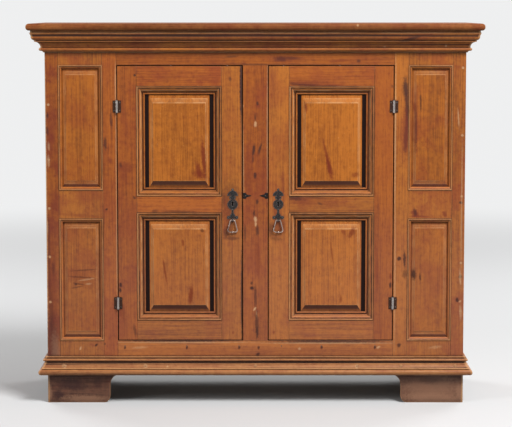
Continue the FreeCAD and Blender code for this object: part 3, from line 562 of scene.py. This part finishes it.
def stick_lines(door):
    """Lines along a door's mouldings, by how far they lie inside the opening: painted highlight
    and wear on the crest, strongest on the head stick, and, at the left and the foot, on the outer
    edge; painted shade and grime in the quirks, and painted shade elsewhere on the outer edge."""
    left, right = sorted((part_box(door + "_hinge_stile"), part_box(door + "_lock_stile")),
                         key=lambda box: box[0].x)
    rail_foot, rail_head = (corner.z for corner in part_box(door + "_middle_rail"))
    low_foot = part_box(door + "_bottom_rail")[1].z
    high_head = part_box(door + "_top_rail")[0].z

    def lines(tree, colour):
        across, _, up = tree.split(tree.place())
        upper = tree.step(up, rail_foot, rail_head)
        foot = tree.total(low_foot, (upper, rail_head - low_foot, 0.0))
        head = tree.total(rail_foot, (upper, high_head - rail_foot, 0.0))
        above_foot = tree.math("SUBTRACT", up, foot)
        below_head = tree.math("SUBTRACT", head, up)
        bright = tree.math("MINIMUM", tree.math("SUBTRACT", across, left[1].x), above_foot)
        dull = tree.math("MINIMUM", tree.math("SUBTRACT", right[0].x, across), below_head)
        inside = tree.math("MINIMUM", bright, dull)
        # Painted light: the sticks at the left and the foot count as lit.
        lit = tree.step(tree.math("SUBTRACT", dull, bright), -mitre_soft, mitre_soft)
        at_foot = tree.step(tree.math("SUBTRACT", above_foot, inside), mitre_soft, 0.0)
        at_head = tree.step(tree.math("SUBTRACT", below_head, inside), mitre_soft, 0.0)
        uneven = tree.step(tree.noise(tree.place(), 30.0, 3.0), 0.36, 0.60, 0.45, 1.0)
        edge = tree.step(inside, edge_line + line_soft, edge_line - line_soft)
        crest = tree.product(tree.band(inside, *crest_line, line_soft),
                             tree.total(0.65, (at_foot, -0.5, 0.0), (at_head, 0.35, 0.0)))
        quirks = tree.math("MAXIMUM", tree.band(inside, *outer_quirk, line_soft),
                           tree.band(inside, *inner_quirk, line_soft))
        pale = tree.math("MAXIMUM", tree.product(edge, lit, 0.65), crest)
        unlit = tree.math("SUBTRACT", 1.0, lit)
        dark = tree.math("MAXIMUM", tree.product(edge, unlit, 0.8), quirks)
        colour = tree.mix(tree.product(pale, uneven), colour, pine_rubbed_and_lit)
        return tree.mix(tree.product(dark, uneven, 0.8), colour, grime_and_shade_colour)

    return lines


def peg_end(name):
    """The pale end grain of a peg or of the filling over a nail."""
    tree = Tree(bpy.data.materials.new(name))
    speck = tree.noise(tree.place(), 900.0, 3.0)
    tree.surface(tree.mix(tree.step(speck, 0.35, 0.7), peg_light, peg_dark),
                 tree.total(0.6, (speck, 0.3, 0.5)), speck, peg_relief)
    return tree.owner


# ---- Iron ----
def iron(name, base=iron_dark, bright=0.3, rough=0.40, shine=None):
    """Blackened wrought iron: hammer marks, brown rust, and corners rubbed bright."""
    tree = Tree(bpy.data.materials.new(name))
    place = tree.place()
    hammered = tree.noise(place, 230.0, 2.0)
    scale = tree.noise(place, 800.0, 4.0, 0.65)
    rust = tree.noise(place, 130.0, 4.0, 0.6)
    colour = tree.mix(tree.step(rust, 0.48, 0.68), base, iron_rust)
    corner = tree.step(tree.openness(iron_corner_reach, inside=True), 0.90, 0.55)
    rubbed = tree.product(corner, tree.step(scale, 0.35, 0.60, 0.15, 1.0), bright)
    if shine:
        rubbed = tree.math("MAXIMUM", rubbed, shine(tree, scale))
    colour = tree.mix(rubbed, colour, iron_bright)
    tree.plug(tree.shader.inputs["Metallic"], 0.8)
    tree.surface(colour, tree.total(rough, (scale, 0.5, 0.5), (rubbed, -0.12, 0.0)),
                 tree.total((hammered, 1.6, 0.5), (scale, 0.4, 0.5)), iron_relief)
    return tree.owner


def knuckle_shine(tree, scale):
    """Bright metal where a hinge's knuckle stands out and is rubbed."""
    forward = tree.split(tree.place())[1]
    return tree.product(tree.step(forward, knuckle_side, knuckle_front),
                        tree.step(scale, 0.30, 0.60, 0.18, 0.62))


# ---- Which finish each piece gets ----
gap_shade = 0.9                # how dark the painted shade on gap sides of stiles and rails is
ruddy = dict(light=ruddy_light, dark=ruddy_dark)
door_panel = dict(detail=door_field, gloss=0.1)
door_moulding = dict(worn=0.25, proud=0.012, red=0.25, broad_shade_and_soot=0.5)
cornice = dict(broad_shade_and_soot=0.55, worn=0.60)
base = dict(broad_shade_and_soot=0.8, worn=0.60, light=base_light, dark=base_dark, low_floor_light=0.0)
foot = dict(light=foot_light, dark=foot_dark, red=0.10, low_floor_light=0.0)
unfinished = dict(light=pine_raw, dark=scaled(pine_raw, 0.5), red=0.0, rough=0.7)

# Each piece's tone. Its shade was matched to a brightness that includes how the light fell on it,
# so it is partly painted light and shade, as in the darker pieces on the left.
tones = {
    "left_corner_stile": dict(ruddy, shade=0.71, red=0.8),
    "right_corner_stile": dict(shade=0.92, red=0.5),
    "left_inner_stile": dict(ruddy, shade=0.91, red=0.4),
    "right_inner_stile": dict(shade=0.94, red=0.25),
    "centre_stile": dict(ruddy, shade=0.87, red=0.5),
    "top_rail": dict(ruddy, shade=0.76, red=0.3),
    "bottom_rail": dict(shade=1.03, red=0.15),
    "flank_rails": dict(shade=0.88, red=0.5),
    "left_door_hinge_stile": dict(ruddy, shade=0.84, red=0.5),
    "left_door_lock_stile": dict(shade=0.95, red=0.3),
    "right_door_hinge_stile": dict(ruddy, shade=0.84, red=0.25),
    "right_door_lock_stile": dict(shade=0.97, red=0.35),
    "left_door_top_rail": dict(ruddy, shade=0.92, red=0.6),
    "right_door_top_rail": dict(ruddy, shade=0.88, red=0.4),
    "left_door_middle_rail": dict(ruddy, shade=0.93, red=0.2),
    "right_door_middle_rail": dict(shade=0.87, red=0.45),
    "left_door_bottom_rail": dict(shade=0.92, red=0.25),
    "right_door_bottom_rail": dict(shade=1.0, red=0.2),
    "left_door_upper_panel": dict(door_panel, shade=1.04, red=0.10),
    "right_door_upper_panel": dict(door_panel, shade=1.06, red=0.08),
    "left_door_lower_panel": dict(door_panel, shade=1.02, red=0.15),
    "right_door_lower_panel": dict(door_panel, shade=1.06, red=0.15),
    "flank_panels": dict(light=flank_light, shade=0.88, red=0.4, detail=flank_field, gloss=0.2,
                         broad_shade_and_soot=0.2, deep_shade_and_grime=0.45),
    "flank_mouldings": dict(worn=0.34, proud=0.012, shade=0.98, red=0.3, broad_shade_and_soot=0.15, deep_shade_and_grime=0.5),
    "left_door_mouldings": dict(door_moulding, shade=0.94, lines=stick_lines("left_door")),
    "right_door_mouldings": dict(door_moulding, shade=0.96, lines=stick_lines("right_door")),
    "cornice_front": dict(cornice, shade=0.95, red=0.5),
    "cornice_left": dict(cornice, shade=0.80, red=0.40),
    "cornice_right": dict(cornice, shade=0.86, red=0.40),
    "top_board": dict(light=nose_light, worn=0.60, shade=0.68, red=0.5, rough=0.6, gloss=0.1),
    "left_side": dict(shade=0.80, red=0.40),
    "right_side": dict(shade=0.90, red=0.30),
    "base_front": dict(base, shade=0.88, red=0.25),
    "base_left": dict(base, shade=0.88, red=0.25),
    "base_right": dict(base, red=0.20),
    "front_feet": dict(foot, worn=0.45),
    "rear_feet": dict(foot, shade=0.9),
    "foot_blocks": dict(foot, shade=0.8),
    "back_boards": unfinished,
    "bottom_board": unfinished,
    "shelves": unfinished,
}

# Stains, scratches, plug holes and rubbed lines, as marked() takes them. Some dark lines are
# painted shadow in the gaps round the doors and painted shade under the cornice's nose; the long
# pale lines along stile and rail edges are rubbed wear and painted highlight.
marks = {
    "left_door_upper_panel": [
        ("red", -0.179, 0.853, 0.079, 0.0081, -4, 0.85),
        ("red", -0.197, 0.815, 0.037, 0.0112, -16, 0.8),
        ("red", -0.194, 0.799, 0.026, 0.0157, -75, 0.65)],
    "right_door_upper_panel": [
        ("red", 0.245, 0.870, 0.056, 0.0052, -13, 0.7),
        ("red", 0.256, 0.824, 0.050, 0.0100, -12, 0.85),
        ("red", 0.175, 1.031, 0.020, 0.0050, -4, 0.7),
        ("red", 0.345, 0.798, 0.014, 0.0112, 90, 0.6)],
    "left_door_lower_panel": [
        ("red", -0.252, 0.561, 0.014, 0.0054, -5, 0.7),
        ("red", -0.315, 0.463, 0.054, 0.0040, -9, 0.65),
        ("red", -0.225, 0.378, 0.036, 0.0090, 5, 0.8),
        ("dark", -0.185, 0.604, 0.009, 0.0067, -33, 0.6)],
    "right_door_lower_panel": [
        ("red", 0.335, 0.597, 0.022, 0.0103, 24, 0.75),
        ("red", 0.306, 0.599, 0.012, 0.0079, -37, 0.6),
        ("red", 0.266, 0.526, 0.041, 0.0036, -7, 0.5),
        ("red", 0.298, 0.364, 0.014, 0.0054, 0, 0.6)],
    "top_rail": [
        ("dark", 0.088, 1.199, 0.027, 0.0103, -88, 0.85),
        ("dark", 0.126, 1.202, 0.027, 0.0067, -86, 0.7),
        ("red", 0.098, 1.198, 0.078, 0.0180, -88, 0.35),
        ("dark", 0.355, 1.192, 0.007, 0.0076, -4, 0.65),
        ("red", 0.287, 1.192, 0.040, 0.0049, 88, 0.5),
        ("dark", -0.080, 1.207, 0.027, 0.0045, 85, 0.5),
        # Painted shadow along the gap over the doors.
        ("dark", 0.000, 1.179, 0.480, 0.0040, 90, 0.35)],
    "right_door_top_rail": [
        ("dark", 0.140, 1.112, 0.031, 0.0049, -86, 0.6),
        ("dark", 0.186, 1.109, 0.042, 0.0067, -87, 0.75),
        ("dark", 0.257, 1.105, 0.040, 0.0049, -88, 0.65),
        ("red", 0.215, 1.111, 0.104, 0.0135, -86, 0.4)],
    "right_door_middle_rail": [
        ("dark", 0.137, 0.719, 0.036, 0.0099, -83, 0.8),
        ("dark", 0.211, 0.719, 0.059, 0.0045, -88, 0.45),
        ("dark", 0.134, 0.668, 0.027, 0.0049, 90, 0.5),
        ("red", 0.203, 0.706, 0.114, 0.0157, -87, 0.35),
        ("dark", 0.224, 0.699, 0.010, 0.0045, -69, 0.5)],
    "left_door_middle_rail": [
        ("dark", -0.261, 0.672, 0.070, 0.0045, -89, 0.5),
        ("dark", -0.348, 0.672, 0.014, 0.0067, 85, 0.5),
        ("red", -0.192, 0.722, 0.062, 0.0090, 90, 0.45)],
    "right_inner_stile": [
        ("dark", 0.517, 1.097, 0.042, 0.0112, -2, 0.85),
        ("dark", 0.523, 1.016, 0.079, 0.0081, -1, 0.9),
        ("dark", 0.519, 0.926, 0.061, 0.0081, 2, 0.8),
        ("red", 0.518, 0.944, 0.100, 0.0180, 0, 0.6),
        ("dark", 0.499, 0.507, 0.008, 0.0090, -2, 0.9),
        ("dark", 0.518, 0.504, 0.034, 0.0054, -2, 0.8),
        ("dark", 0.520, 0.453, 0.018, 0.0112, 2, 0.55),
        ("dark", 0.501, 0.202, 0.008, 0.0076, 0, 0.8),
        # Long pale lines along the stile's edges: rubbed wear and painted highlight.
        ("pale", 0.483, 0.926, 0.312, 0.0031, 0, 0.31),
        ("pale", 0.485, 0.444, 0.271, 0.0031, 0, 0.22)],
    "flank_panels": [
        ("dark", 0.555, 0.966, 0.081, 0.0040, -1, 0.7),
        ("red", 0.554, 0.976, 0.124, 0.0112, -1, 0.45),
        ("dark", 0.570, 1.049, 0.038, 0.0040, -2, 0.65),
        ("red", 0.548, 1.032, 0.020, 0.0054, 0, 0.6),
        ("dark", 0.550, 0.451, 0.021, 0.0099, -2, 0.85),
        ("dark", 0.573, 0.440, 0.016, 0.0040, -4, 0.7),
        ("dark", -0.595, 0.466, 0.051, 0.0031, 86, 0.5),
        ("dark", -0.605, 0.441, 0.047, 0.0036, -86, 0.55),
        ("dark", -0.614, 0.417, 0.023, 0.0036, -79, 0.55),
        ("dark", -0.625, 0.416, 0.005, 0.0054, -33, 0.7),
        ("dark", -0.621, 0.406, 0.023, 0.0031, 81, 0.5),
        ("pale", -0.588, 0.433, 0.030, 0.0036, 81, 0.34),
        ("pale", -0.581, 0.418, 0.012, 0.0040, 84, 0.34),
        ("red", -0.603, 0.435, 0.066, 0.0270, -53, 0.25)],
    "flank_rails": [
        ("red", 0.553, 0.664, 0.019, 0.0135, -48, 0.85),
        ("dark", 0.553, 0.668, 0.016, 0.0067, -9, 0.6),
        ("red", 0.655, 0.663, 0.012, 0.0090, -37, 0.7),
        ("red", 0.569, 0.654, 0.046, 0.0045, -89, 0.6),
        ("dark", -0.555, 0.203, 0.004, 0.0067, -50, 0.9),
        ("pale", -0.610, 0.192, 0.004, 0.0067, -63, 0.46),
        ("pale", 0.628, 0.196, 0.025, 0.0058, 85, 0.19),
        ("red", -0.608, 0.658, 0.088, 0.0067, -86, 0.35)],
    "left_inner_stile": [
        ("dark", -0.519, 0.907, 0.025, 0.0067, -2, 0.7),
        ("dark", -0.498, 0.989, 0.035, 0.0058, -2, 0.6),
        ("red", -0.502, 0.848, 0.011, 0.0067, 0, 0.6),
        ("dark", -0.516, 0.679, 0.004, 0.0054, -14, 0.85),
        # Long pale lines along the stile's edges: rubbed wear and painted highlight.
        ("pale", -0.482, 1.111, 0.081, 0.0030, 0, 0.28),
        ("pale", -0.481, 0.843, 0.209, 0.0028, 0, 0.26),
        ("pale", -0.481, 0.530, 0.176, 0.0029, 0, 0.25),
        ("dark", -0.527, 0.207, 0.005, 0.0054, -13, 0.6)],
    "left_door_hinge_stile": [
        ("red", -0.447, 0.823, 0.032, 0.0247, -82, 0.6),
        ("red", -0.454, 0.793, 0.018, 0.0135, -83, 0.45),
        ("dark", -0.466, 0.833, 0.010, 0.0054, -10, 0.6),
        ("dark", -0.469, 0.415, 0.009, 0.0058, -6, 0.9),
        ("dark", -0.470, 0.396, 0.009, 0.0054, -6, 0.9),
        ("red", -0.467, 0.323, 0.042, 0.0135, -16, 0.45),
        ("dark", -0.415, 1.143, 0.005, 0.0054, -11, 0.85),
        ("dark", -0.420, 0.253, 0.024, 0.0067, -12, 0.5),
        ("red", -0.458, 1.027, 0.040, 0.0090, -9, 0.4),
        ("dark", -0.419, 0.719, 0.007, 0.0049, -13, 0.7)],
    "left_door_lock_stile": [
        ("dark", -0.087, 1.130, 0.010, 0.0054, -6, 0.55),
        # Painted shade of a ragged broken edge along the gap between the doors.
        ("dark", -0.0485, 1.115, 0.155, 0.0068, 0, 1.0),
        ("dark", -0.047, 0.870, 0.230, 0.0030, 0, 0.6),
        ("dark", -0.0475, 0.370, 0.190, 0.0046, 0, 0.9),
        ("dark", -0.086, 0.712, 0.075, 0.0400, 0, 0.36),
        ("dark", -0.102, 0.597, 0.023, 0.0112, 1, 0.6),
        ("dark", -0.078, 0.578, 0.027, 0.0076, -88, 0.5),
        ("dark", -0.110, 0.712, 0.027, 0.0090, 0, 0.4),
        ("dark", -0.043, 0.597, 0.032, 0.0054, 1, 0.85),
        ("red", -0.102, 0.663, 0.079, 0.0135, 0, 0.5),
        ("red", -0.078, 0.247, 0.006, 0.0067, -63, 0.5)],
    "right_door_lock_stile": [
        ("dark", 0.052, 0.611, 0.032, 0.0099, -1, 0.6),
        ("dark", 0.073, 0.576, 0.025, 0.0072, -85, 0.4),
        ("dark", 0.038, 0.675, 0.108, 0.0027, 0, 0.4),
        ("red", 0.080, 0.638, 0.061, 0.0180, -19, 0.5),
        ("red", 0.096, 0.771, 0.057, 0.0058, -1, 0.45),
        ("red", 0.064, 0.247, 0.005, 0.0067, -56, 0.5)],
    "right_door_hinge_stile": [
        ("red", 0.470, 0.444, 0.012, 0.0049, -3, 0.7),
        ("dark", 0.469, 0.413, 0.012, 0.0058, -3, 0.85),
        ("red", 0.421, 0.467, 0.089, 0.0090, -2, 0.3),
        ("red", 0.452, 1.028, 0.043, 0.0067, -9, 0.35),
        ("dark", 0.471, 1.104, 0.007, 0.0040, -6, 0.5)],
    "centre_stile": [
        ("dark", 0.007, 1.046, 0.008, 0.0049, -5, 0.8),
        ("dark", -0.001, 0.998, 0.014, 0.0034, -2, 0.65),
        ("pale", 0.000, 0.975, 0.011, 0.0054, -1, 0.46),
        ("dark", -0.006, 0.884, 0.026, 0.0056, 6, 0.85),
        ("dark", 0.016, 0.890, 0.022, 0.0050, 14, 0.8),
        ("dark", -0.009, 0.852, 0.011, 0.0042, 0, 0.6),
        # Long pale lines along the stile's edges: rubbed wear and painted highlight.
        ("pale", -0.047, 1.109, 0.083, 0.0040, 0, 0.31),
        ("pale", -0.043, 0.895, 0.187, 0.0031, -1, 0.28),
        ("pale", 0.041, 0.960, 0.269, 0.0027, 0, 0.25),
        ("pale", -0.047, 1.040, 0.010, 0.0054, -7, 0.53),
        ("dark", -0.001, 0.796, 0.011, 0.0058, -5, 0.85),
        ("dark", 0.006, 0.705, 0.010, 0.0058, 4, 0.75),
        ("dark", -0.005, 0.665, 0.012, 0.0049, -1, 0.7),
        ("pale", 0.000, 0.644, 0.011, 0.0063, -4, 0.53),
        ("pale", 0.001, 0.627, 0.009, 0.0049, -3, 0.46),
        ("dark", 0.007, 0.605, 0.021, 0.0067, -3, 0.7),
        ("dark", -0.036, 0.598, 0.034, 0.0040, -1, 0.6),
        ("dark", -0.013, 0.421, 0.007, 0.0058, -9, 0.75),
        ("dark", -0.012, 0.404, 0.008, 0.0081, -6, 0.95),
        ("dark", 0.000, 0.374, 0.043, 0.0054, -1, 0.6),
        ("pale", -0.002, 0.331, 0.004, 0.0076, -55, 0.59),
        ("pale", 0.004, 0.311, 0.017, 0.0022, -8, 0.31),
        ("dark", 0.005, 0.274, 0.058, 0.0076, -2, 0.65),
        ("dark", 0.006, 0.251, 0.021, 0.0045, -1, 0.6),
        ("red", -0.024, 0.798, 0.109, 0.0180, -1, 0.4),
        ("red", 0.008, 0.516, 0.071, 0.0112, -1, 0.4)],
    "left_corner_stile": [
        # A long pale line down the case's edge: rubbed wear and painted highlight.
        ("pale", -0.7235, 0.700, 0.560, 0.0024, 0, 0.55),
        ("red", -0.707, 0.978, 0.117, 0.0202, 0, 0.45),
        ("dark", -0.717, 1.004, 0.012, 0.0045, -2, 0.7),
        ("dark", -0.718, 0.952, 0.016, 0.0049, -2, 0.6),
        ("pale", -0.714, 0.897, 0.016, 0.0049, -2, 0.25),
        ("pale", -0.715, 0.847, 0.023, 0.0054, -2, 0.28),
        ("dark", -0.716, 0.502, 0.176, 0.0045, 0, 0.55),
        ("dark", -0.703, 0.472, 0.029, 0.0072, -1, 0.6),
        ("dark", -0.711, 0.330, 0.093, 0.0081, 0, 0.45),
        ("red", -0.706, 0.414, 0.242, 0.0157, 0, 0.45),
        ("dark", -0.709, 0.205, 0.120, 0.0230, 0, 0.5),
        ("umber", -0.695, 0.165, 0.090, 0.0190, -4, 0.5),
        ("pale", -0.721, 0.618, 0.023, 0.0031, -1, 0.25)],
    "right_corner_stile": [
        ("dark", 0.712, 0.702, 0.006, 0.0072, -5, 0.85),
        ("dark", 0.712, 0.444, 0.008, 0.0067, -4, 0.85),
        ("dark", 0.702, 0.362, 0.010, 0.0067, -14, 0.85),
        ("pale", 0.712, 0.357, 0.004, 0.0054, -39, 0.37),
        ("pale", 0.712, 0.443, 0.032, 0.0045, -3, 0.28),
        ("pale", 0.714, 0.321, 0.030, 0.0054, -1, 0.25),
        ("pale", 0.714, 0.690, 0.245, 0.0027, 0, 0.25),
        ("pale", 0.700, 0.996, 0.036, 0.0031, -4, 0.31),
        ("dark", 0.679, 0.701, 0.058, 0.0040, -1, 0.5),
        ("red", 0.673, 0.659, 0.110, 0.0090, -1, 0.35)],
    "cornice_front": [
        ("dark", 0.528, 1.267, 0.041, 0.0067, 75, 0.75),
        ("pale", 0.653, 1.245, 0.004, 0.0054, -82, 0.5),
        ("pale", 0.443, 1.240, 0.005, 0.0036, -84, 0.34),
        # Painted shade on the cove and fascia under the nose.
        ("dark", -0.018, 1.274, 0.811, 0.0214, -90, 0.35)],
    "top_board": [
        ("pale", 0.348, 1.314, 0.004, 0.0049, -86, 0.5),
        ("dark", -0.003, 1.311, 0.960, 0.0180, -90, 0.25)],
    "bottom_rail": [
        ("dark", -0.455, 0.194, 0.004, 0.0072, -79, 0.85),
        ("dark", -0.239, 0.194, 0.004, 0.0072, -79, 0.85),
        ("dark", -0.056, 0.194, 0.005, 0.0072, -79, 0.85),
        ("dark", 0.011, 0.194, 0.005, 0.0072, -79, 0.85),
        ("dark", 0.231, 0.194, 0.005, 0.0072, -79, 0.85),
        ("dark", 0.417, 0.194, 0.005, 0.0072, -79, 0.85),
        ("dark", 0.008, 0.170, 0.006, 0.0103, -37, 0.85),
        ("pale", -0.404, 0.194, 0.029, 0.0049, 86, 0.25),
        ("pale", 0.154, 0.190, 0.005, 0.0054, -80, 0.46),
        ("pale", 0.428, 0.195, 0.008, 0.0049, 75, 0.46),
        ("red", -0.001, 0.184, 0.634, 0.0180, -90, 0.2),
        # Painted shadow along the gaps under the doors.
        ("dark", -0.262, 0.217, 0.225, 0.0030, 90, 0.9),
        ("dark", 0.262, 0.215, 0.225, 0.0052, 90, 0.85),
        # Pale lines along the rail's top edge: rubbed wear and painted highlight.
        ("pale", -0.263, 0.2125, 0.263, 0.0031, 90, 0.3),
        ("pale", 0.260, 0.210, 0.271, 0.0031, 90, 0.3)],
    "base_front": [
        ("pale", -0.666, 0.132, 0.009, 0.0067, -83, 0.46),
        ("pale", -0.383, 0.132, 0.008, 0.0072, -87, 0.53),
        ("pale", 0.353, 0.130, 0.008, 0.0054, -4, 0.43),
        ("pale", -0.307, 0.130, 0.004, 0.0049, -79, 0.31),
        ("dark", -0.469, 0.105, 0.345, 0.0045, -89, 0.35),
        ("dark", 0.033, 0.150, 0.153, 0.0036, -90, 0.35)],
    "front_feet": [
        ("dark", -0.639, 0.062, 0.056, 0.0225, -85, 0.7),
        ("dark", -0.687, 0.026, 0.020, 0.0202, -44, 0.75),
        ("dark", -0.552, 0.069, 0.024, 0.0180, -16, 0.5),
        ("umber", -0.593, 0.012, 0.088, 0.0157, -89, 0.75),
        ("umber", -0.717, 0.037, 0.036, 0.0067, -3, 0.5),
        ("umber", 0.616, 0.015, 0.121, 0.0202, -89, 0.85),
        ("umber", 0.618, 0.055, 0.119, 0.0495, -88, 0.6),
        ("umber", 0.712, 0.037, 0.037, 0.0112, -3, 0.7),
        ("dark", 0.610, 0.079, 0.045, 0.0135, -89, 0.4)],
}


def finish_for(node):
    """The material of a worked piece."""
    slot = frame["nodes"][node].data.materials[0].name
    if slot == "peg_wood":
        return peg_end("peg_end")
    if node.endswith("hinge_leaves"):
        return iron("hinge_iron", base=iron_rust, bright=0.0, rough=0.42, shine=knuckle_shine)
    if node == "strike_plates":
        return iron("strike_iron", bright=0.0, rough=0.45)
    if node.endswith("bail"):
        return iron("worn_iron", base=iron_worn, bright=0.75, rough=0.32)
    if slot == "iron":
        return iron("black_iron")
    # Stiles and rails get painted shade on their sides, where they face a gap.
    gapped = node.endswith(("stile", "rail")) and "corner" not in node
    edges = gap_shade if gapped else 0.0
    return pine(node + "_pine", marks=marks.get(node, ()), edges=edges, **tones.get(node, {}))


for node_name in frame["nodes"]:
    worked(node_name).data.materials.append(finish_for(node_name))


# ---- The studio ----
floor_reach = 40.0
floor_pale = (0.640, 0.645, 0.650)        # as it is seen, and as it lights the object
floor_dull = (0.240, 0.310, 0.400)
fade_start = 2.2              # from here to there the floor fades into the background
fade_end = 7.0
world_strength = 0.19
world_colour = (1.0, 0.99, 0.98)
view_distance = 6.780         # of the camera from the case's face, fitted to the photograph
view_height = 1.370
view_shift = 0.002
view_pitch = radians(5.94)    # downwards
view_lens = 138.33
case_face_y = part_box("left_corner_stile")[0].y
case_middle = Vector((0.0, 0.0, 0.65))
# Each lamp's name, place, width and power.
lamps = (("key", (2.4, -3.4, 4.9), 2.2, 430.0),
         ("fill", (-4.2, -3.2, 2.6), 2.0, 80.0),
         ("back_right", (3.0, 3.4, 3.0), 2.0, 90.0),
         ("back_left", (-3.0, 3.4, 3.0), 2.0, 90.0))


def make_floor():
    """A pale floor that keeps the shadow and fades into the studio's background."""
    mesh = bpy.data.meshes.new("studio_floor")
    corners = [(-floor_reach, -floor_reach, 0), (floor_reach, -floor_reach, 0),
               (floor_reach, floor_reach, 0), (-floor_reach, floor_reach, 0)]
    mesh.from_pydata(corners, [], [(0, 1, 2, 3)])
    floor = bpy.data.objects.new("studio_floor", mesh)
    bpy.context.scene.collection.objects.link(floor)
    tree = Tree(bpy.data.materials.new("studio_floor"))
    seen = tree.shown()
    tree.plug(tree.shader.inputs["Base Color"], tree.mix(seen, floor_dull, floor_pale))
    tree.plug(tree.shader.inputs["Roughness"], 0.9)
    tree.plug(tree.shader.inputs["Specular IOR Level"], 0.1)
    away = tree.node("VectorMath", operation="LENGTH")
    tree.plug(away.inputs[0], tree.place())
    share = tree.product(seen, tree.step(away.outputs["Value"], fade_start, fade_end))
    glow = tree.node("Emission")
    tree.plug(glow.inputs["Color"], studio_pale)
    blend = tree.node("MixShader")
    tree.plug(blend.inputs[0], share)
    tree.plug(blend.inputs[1], tree.shader.outputs[0])
    tree.plug(blend.inputs[2], glow.outputs[0])
    output = next(node for node in tree.tree.nodes if node.type == "OUTPUT_MATERIAL")
    tree.plug(output.inputs["Surface"], blend.outputs[0])
    mesh.materials.append(tree.owner)


def make_world():
    """Even light from all sides, and a pale background where it is seen."""
    world = bpy.data.worlds.new("studio")
    bpy.context.scene.world = world
    tree = Tree(world)
    light = tree.tree.nodes["Background"]
    tree.plug(light.inputs["Color"], world_colour)
    tree.plug(light.inputs["Strength"], world_strength)
    backdrop = tree.node("Background")
    tree.plug(backdrop.inputs["Color"], studio_pale)
    blend = tree.node("MixShader")
    tree.plug(blend.inputs[0], tree.shown())
    tree.plug(blend.inputs[1], light.outputs[0])
    tree.plug(blend.inputs[2], backdrop.outputs[0])
    tree.plug(tree.tree.nodes["World Output"].inputs["Surface"], blend.outputs[0])


def make_lamp(name, place, width, power):
    """A soft square lamp that faces the middle of the case."""
    data = bpy.data.lights.new(name, "AREA")
    data.energy = power
    data.size = width
    lamp = bpy.data.objects.new(name, data)
    lamp.location = place
    lamp.rotation_mode = "QUATERNION"
    lamp.rotation_quaternion = (case_middle - Vector(place)).to_track_quat("-Z", "Y")
    bpy.context.scene.collection.objects.link(lamp)


def make_camera():
    """The camera of the photograph."""
    data = bpy.data.cameras.new("camera")
    data.lens = view_lens
    camera = bpy.data.objects.new("camera", data)
    camera.location = (view_shift, case_face_y - view_distance, view_height)
    camera.rotation_euler = (radians(90) - view_pitch, 0, 0)
    bpy.context.scene.collection.objects.link(camera)
    bpy.context.scene.camera = camera


make_floor()
make_world()
for lamp_settings in lamps:
    make_lamp(*lamp_settings)
make_camera()
bpy.context.scene.view_settings.view_transform = "Standard"
